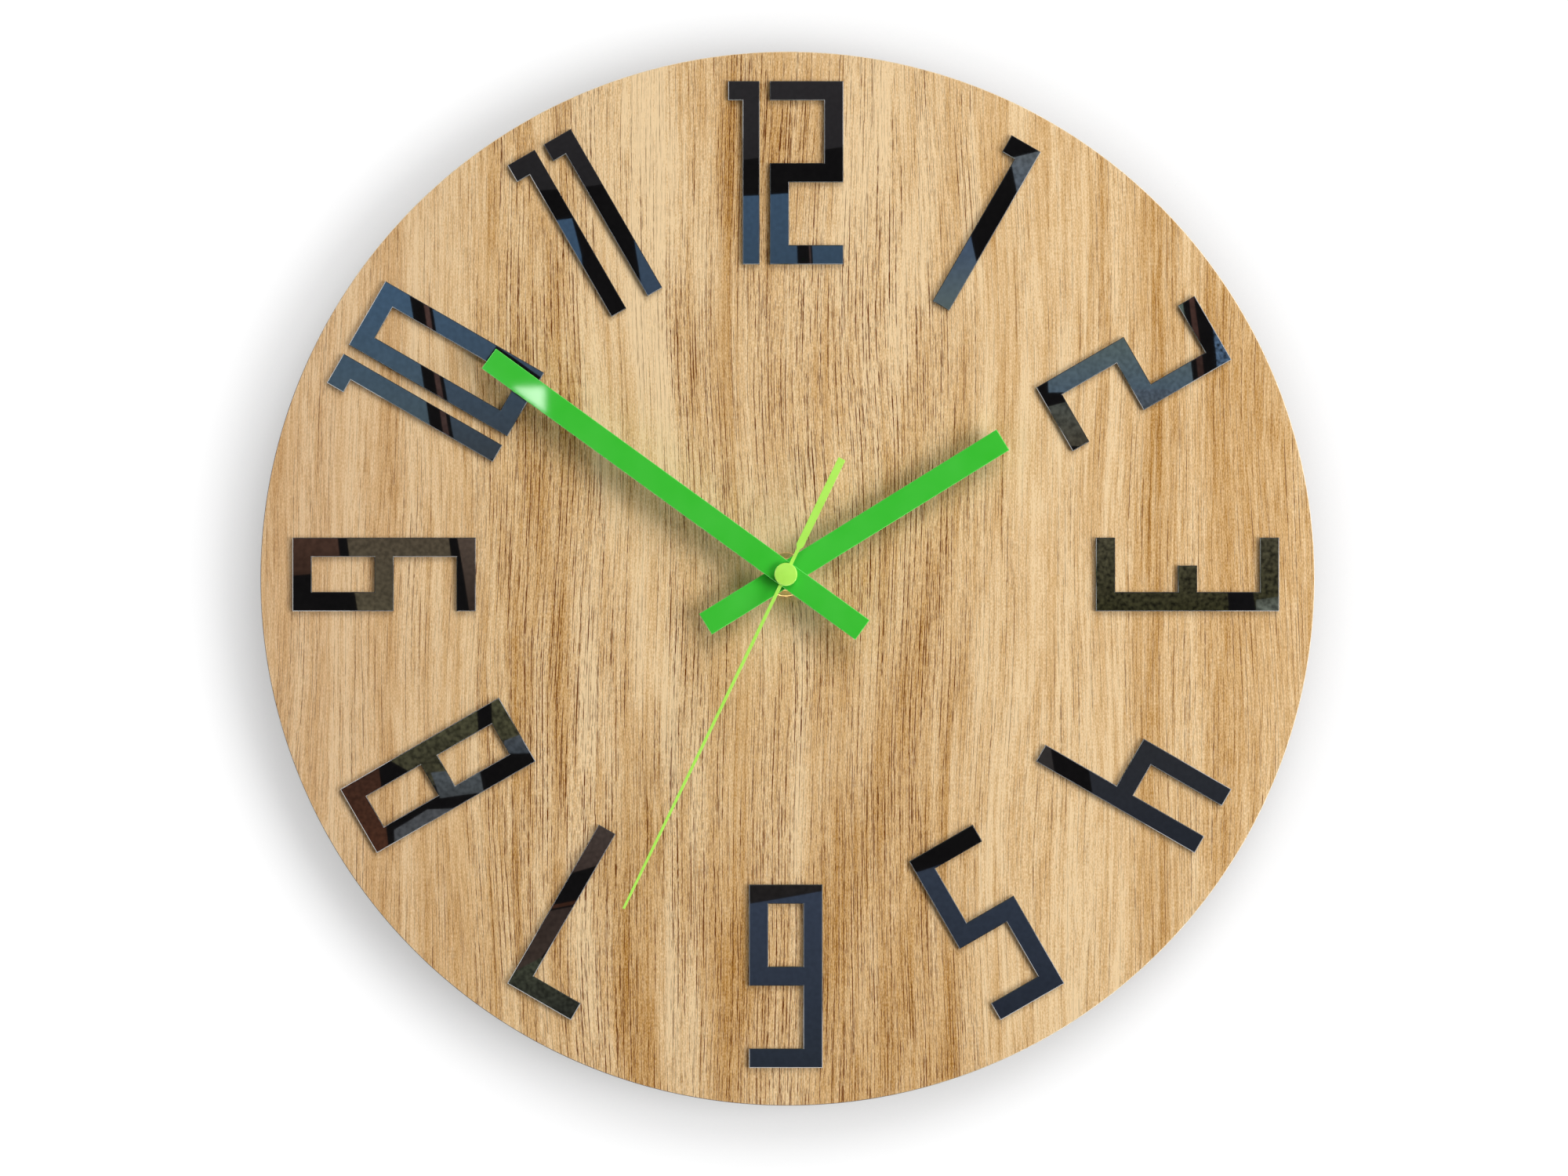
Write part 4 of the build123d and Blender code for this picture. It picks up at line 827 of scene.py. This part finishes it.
# Room that the acrylic mirrors: panes in front of the clock, seen in reflections only. Each has its colour as the
# black face shows it, at the top and the bottom, how leafy it is, and its corners in millimetres on the dial where
# it is mirrored.
ROOM_DISTANCE = 0.6
ACRYLIC_MIRROR = ((ACRYLIC_IOR - 1) / (ACRYLIC_IOR + 1)) ** 2
ROOM_PANES = [
    ("#0B0A0A", "#0B0A0A", 0.2, [(-185, -185), (185, -185), (185, 185), (-185, 185)]),
    # Over the 11 and 12
    ("#2A282A", "#201F20", 0.1, [(-95, 119), (-60, 121.5), (-22, 128.5), (26, 134.7), (26, 166), (-95, 166)]),
    ("#384D63", "#334556", 0.1, [(-16, 118.2), (8, 119.5), (25, 121), (25, 90), (-16, 90)]),
    ("#0B0A0A", "#0B0A0A", 0.2, [(2.6, 120), (6.9, 120), (9.0, 90), (4, 90)]),
    ("#4A3A34", "#3A302E", 0.2, [(5.9, 120), (6.4, 120), (8.5, 90), (8.0, 90)]),
    ("#384E65", "#34495E", 0.1, [(-80, 109.5), (-66.7, 111.3), (-63.9, 100), (-63, 88), (-80, 88)]),
    ("#364859", "#364355", 0.1, [(-47.5, 104.5), (-34, 104.5), (-34, 84), (-44.3, 84)]),
    # Round the 1 and 2
    ("#585E62", "#4A5460", 0.3, [(70, 130), (84, 133.5), (84, 118), (72.6, 118)]),
    ("#3A4B66", "#566260", 0.1, [(40, 108.5), (57.3, 108.5), (60.5, 94), (60.5, 80), (40, 80)]),
    ("#59655A", "#475764", 0.2, [(81, 82), (123.6, 88), (126.6, 67), (127.8, 57), (82, 57)]),
    ("#47525E", "#40403A", 0.4, [(100, 58), (127.8, 58), (129, 40), (100, 40)]),
    ("#444945", "#423E33", 0.4, [(80, 52), (100, 57), (100, 40), (80, 40)]),
    ("#46302A", "#2A1E1A", 0.2, [(125.6, 90), (127.2, 90), (131.6, 56), (129.6, 56)]),
    ("#40546A", "#3A4C60", 0.9, [(133.6, 76.5), (142, 76.5), (142, 62), (135, 62)]),
    # Round the 3 and 4
    ("#413E2F", "#2B2A18", 0.8, [(90, 14), (160, 14), (160, -12), (90, -12)]),
    ("#0C0B0C", "#0C0B0C", 0.2, [(138, -4), (146, -4), (147, -12), (138.6, -12)]),
    ("#4A4E44", "#5A6058", 0.5, [(147, -8), (156, -6.5), (156, -12), (147, -12)]),
    ("#312E2D", "#2B2928", 0.1, [(70, -45), (82.3, -50), (84.5, -65), (84.5, -72), (70, -72)]),
    ("#2A2B2E", "#20252E", 0.1, [(93.6, -53), (98, -45), (146, -45), (146, -94), (96.8, -94), (96.2, -71)]),
    # Round the 5, 6 and 7
    ("#303947", "#212630", 0.1, [(36, -94.8), (48, -91), (88, -84), (94, -100), (94, -145), (36, -145)]),
    ("#221F1D", "#1C1A1A", 0.2, [(-18, -92), (20, -92), (20, -97.5), (-18, -104)]),
    ("#323B4B", "#252B34", 0.1, [(-18, -104), (20, -97.5), (20, -158), (-18, -158)]),
    ("#433A35", "#372D29", 0.2, [(-66, -74), (-46, -74), (-56, -90.2), (-70.5, -94.5)]),
    ("#3E2418", "#2E1C14", 0.2, [(-76, -104), (-64, -101.9), (-64.3, -103), (-76.3, -105.1)]),
    ("#312723", "#382F29", 0.2, [(-77, -105.8), (-64, -103.5), (-76.5, -119.8), (-92, -128)]),
    ("#373A2E", "#1F201D", 0.5, [(-92, -128), (-76.5, -119.8), (-60, -127), (-60, -142), (-92, -142)]),
    # Round the 8
    ("#32211A", "#46291B", 0.3, [(-146, -48), (-128.2, -52), (-123.4, -92), (-146, -96)]),
    ("#444430", "#353325", 0.55,
     [(-127.4, -56), (-126.6, -40), (-110, -28), (-78, -28), (-78, -52), (-110, -66)]),
    ("#0B0A0A", "#0B0A0A", 0.2, [(-97.2, -34), (-92.3, -34), (-90.8, -68), (-95, -68)]),
    ("#4A5056", "#343A40", 0.3, [(-88, -52), (-78, -48), (-78, -56), (-88, -56)]),
    ("#4A5054", "#3A3E40", 0.3, [(-111, -62), (-96, -60.5), (-94.6, -68), (-108, -70)]),
    ("#46484B", "#3C3F41", 0.3, [(-122.5, -80), (-112, -73.5), (-102, -73), (-104, -90), (-122, -92)]),
    # Round the 9 and 10
    ("#443027", "#33231B", 0.2, [(-162, 15), (-140.6, 15), (-138.8, 0.9), (-162, -1.2)]),
    ("#4B4235", "#4A4435", 0.3, [(-137.8, 15), (-105.8, 15), (-104, 0), (-103.4, -14), (-133.5, -14)]),
    ("#50443B", "#2B211C", 0.2, [(-103.2, 15), (-94, 15), (-94, -14), (-98.5, -14)]),
    ("#3C556E", "#424F54", 0.1, [(-152, 95), (-118.9, 95), (-110.3, 40), (-152, 40)]),
    ("#4A3631", "#3A2C29", 0.2, [(-114.4, 92), (-112.9, 92), (-104.4, 38), (-106.2, 38)]),
    ("#3D546A", "#353C42", 0.1, [(-111.6, 90), (-90, 84), (-70, 70), (-70, 36), (-102.8, 36)]),
    # Along the minute hand
    ("#0B0A0A", "#0B0A0A", 0.2,
     [(-90.6, 71.5), (-95.6, 64.5), (-64.3, 41.7), (-58, 37.2), (-58, 48.4), (-64.3, 52.9)]),
]
# Window in the room: a bright pane that the minute hand mirrors, soft at its top and right
WINDOW_TONE = "#C4C4C4"
WINDOW_CORNERS = [(-86, 59.2), (-73.6, 59.2), (-73.6, 49.6)]


def seen_in_acrylic(x, z, distance):
    """The point at a distance in front of the dial that a place on it mirrors to the camera."""
    place = Vector((x * MM, numeral_front, z * MM))
    from_camera = place - camera_place
    path = distance / abs(from_camera.y)
    return (place.x + from_camera.x * path, numeral_front - distance, place.z + from_camera.z * path)


LEAF_SIZE = 1.6 * MM
LEAF_DARK = 0.35
LEAF_LIGHT = 0.65
SOFT_FROM = 0.8
PANE_GAP = 0.4 * MM


def mirrored_only(face):
    """Hides a face of the studio from all but reflections."""
    for ray in ("camera", "diffuse", "transmission", "shadow", "volume_scatter"):
        setattr(face, "visible_" + ray, False)


def glow(name, top, bottom, leafy, soft_edge=False):
    """A light that reflections alone show, from one colour at the bottom to another at the top, dappled as leaves
    dapple it."""
    material = bpy.data.materials.new(name)
    material.use_nodes = True
    tree = material.node_tree
    tree.nodes.clear()
    coordinates = put(tree, "TexCoord")
    sides = put(tree, "SeparateXYZ", {0: coordinates.outputs["Generated"]})
    fade = put(tree, "MixRGB", {0: sides.outputs["Z"], 1: paint(bottom), 2: paint(top)})
    leaves = put(tree, "TexNoise", {"Vector": coordinates.outputs["Object"], "Scale": 1 / LEAF_SIZE, "Detail": 4.0})
    strength = put(tree, "MapRange", {0: leaves, 1: LEAF_DARK, 2: LEAF_LIGHT, 3: (1 - leafy) / ACRYLIC_MIRROR,
                                      4: (1 + leafy) / ACRYLIC_MIRROR})
    if soft_edge:
        for side in ("X", "Z"):
            edge = put(tree, "MapRange", {0: sides.outputs[side], 1: 1.0, 2: SOFT_FROM},
                       interpolation_type="SMOOTHSTEP")
            strength = put(tree, "Math", {0: strength, 1: edge}, operation="MULTIPLY")
    put(tree, "OutputMaterial", {0: put(tree, "Emission", {"Color": fade, "Strength": strength})})
    return material


room = [(f"room_pane_{i}", *pane, False) for i, pane in enumerate(ROOM_PANES)]
room.append(("room_window", WINDOW_TONE, WINDOW_TONE, 0.1, WINDOW_CORNERS, True))
for layer, (name, top, bottom, leafy, corners, soft) in enumerate(room):
    nearer = ROOM_DISTANCE - layer * PANE_GAP
    mirrored_only(stage_face(name, [seen_in_acrylic(x, z, nearer) for x, z in corners],
                             glow(name, top, bottom, leafy, soft)))

# Pale band round the sides and below, which the eased edges of the acrylic catch; angles in degrees from the right
EDGE_RADIUS = 0.3
EDGE_DEPTH = -0.12
EDGE_TONE = "#A0A0A0"
EDGE_STEP = 10
EDGE_ARC = range(130, 410, EDGE_STEP)
edge_light = glow("edge_light", EDGE_TONE, EDGE_TONE, 0.1)
for degrees in EDGE_ARC:
    near, far = math.radians(degrees), math.radians(degrees + EDGE_STEP)
    corners = [(EDGE_RADIUS * math.cos(a), y, EDGE_RADIUS * math.sin(a)) for a, y in
               ((near, 0.0), (far, 0.0), (far, EDGE_DEPTH), (near, EDGE_DEPTH))]
    mirrored_only(stage_face(f"edge_band_{degrees}", corners, edge_light))

# World: even light from all round, and white where it is seen or mirrored
AMBIENT = 0.10
world = bpy.data.worlds.new("studio")
bpy.context.scene.world = world
world.use_nodes = True
sky = world.node_tree
rays = put(sky, "LightPath")
seen = put(sky, "Math", {0: rays.outputs["Is Camera Ray"], 1: rays.outputs["Is Glossy Ray"]}, operation="MAXIMUM")
seen = put(sky, "Math", {0: seen, 1: rays.outputs["Is Transmission Ray"]}, operation="MAXIMUM")
sky_level = put(sky, "MapRange", {0: seen, 3: AMBIENT, 4: 1.0})
background = sky.nodes["Background"]
background.inputs["Color"].default_value = (1, 1, 1, 1)
sky.links.new(sky_level.outputs[0], background.inputs["Strength"])

# Lamps: two soft ones, from the right and from the upper right, a weak one from the left and one behind for the
# back. Each has its direction, and its distance and width in metres and its power in watts.
LAMPS = [
    ("key_right", Vector((0.672, -0.731, -0.118)), 4.4, 2.8, 127.0),
    ("key_above", Vector((0.288, -0.731, 0.618)), 4.4, 2.8, 101.0),
    ("fill", Vector((-0.74, -0.643, -0.2)), 2.2, 1.6, 3.7),
    ("rear", Vector((-0.3, 1.0, 0.5)), 2.0, 2.4, 50.0),
]
for name, direction, distance, size, power in LAMPS:
    lamp = bpy.data.lights.new(name, "AREA")
    lamp.shape = "DISK"
    lamp.size = size
    lamp.energy = power
    holder = bpy.data.objects.new(name, lamp)
    holder.location = direction.normalized() * distance
    holder.rotation_mode = "QUATERNION"
    holder.rotation_quaternion = direction.to_track_quat("Z", "Y")
    holder.visible_glossy = False
    holder.visible_camera = False
    bpy.context.scene.collection.objects.link(holder)

camera_data = bpy.data.cameras.new("camera")
camera_data.sensor_width = SENSOR_WIDTH
camera_data.lens = SENSOR_WIDTH * CAMERA_DISTANCE / (PIXELS_WIDE / PIXELS_PER_MM * MM)
camera = bpy.data.objects.new("camera", camera_data)
camera.location = camera_place
camera.rotation_euler = (math.pi / 2, 0, 0)
bpy.context.scene.collection.objects.link(camera)
bpy.context.scene.camera = camera
bpy.context.scene.view_settings.view_transform = "Standard"
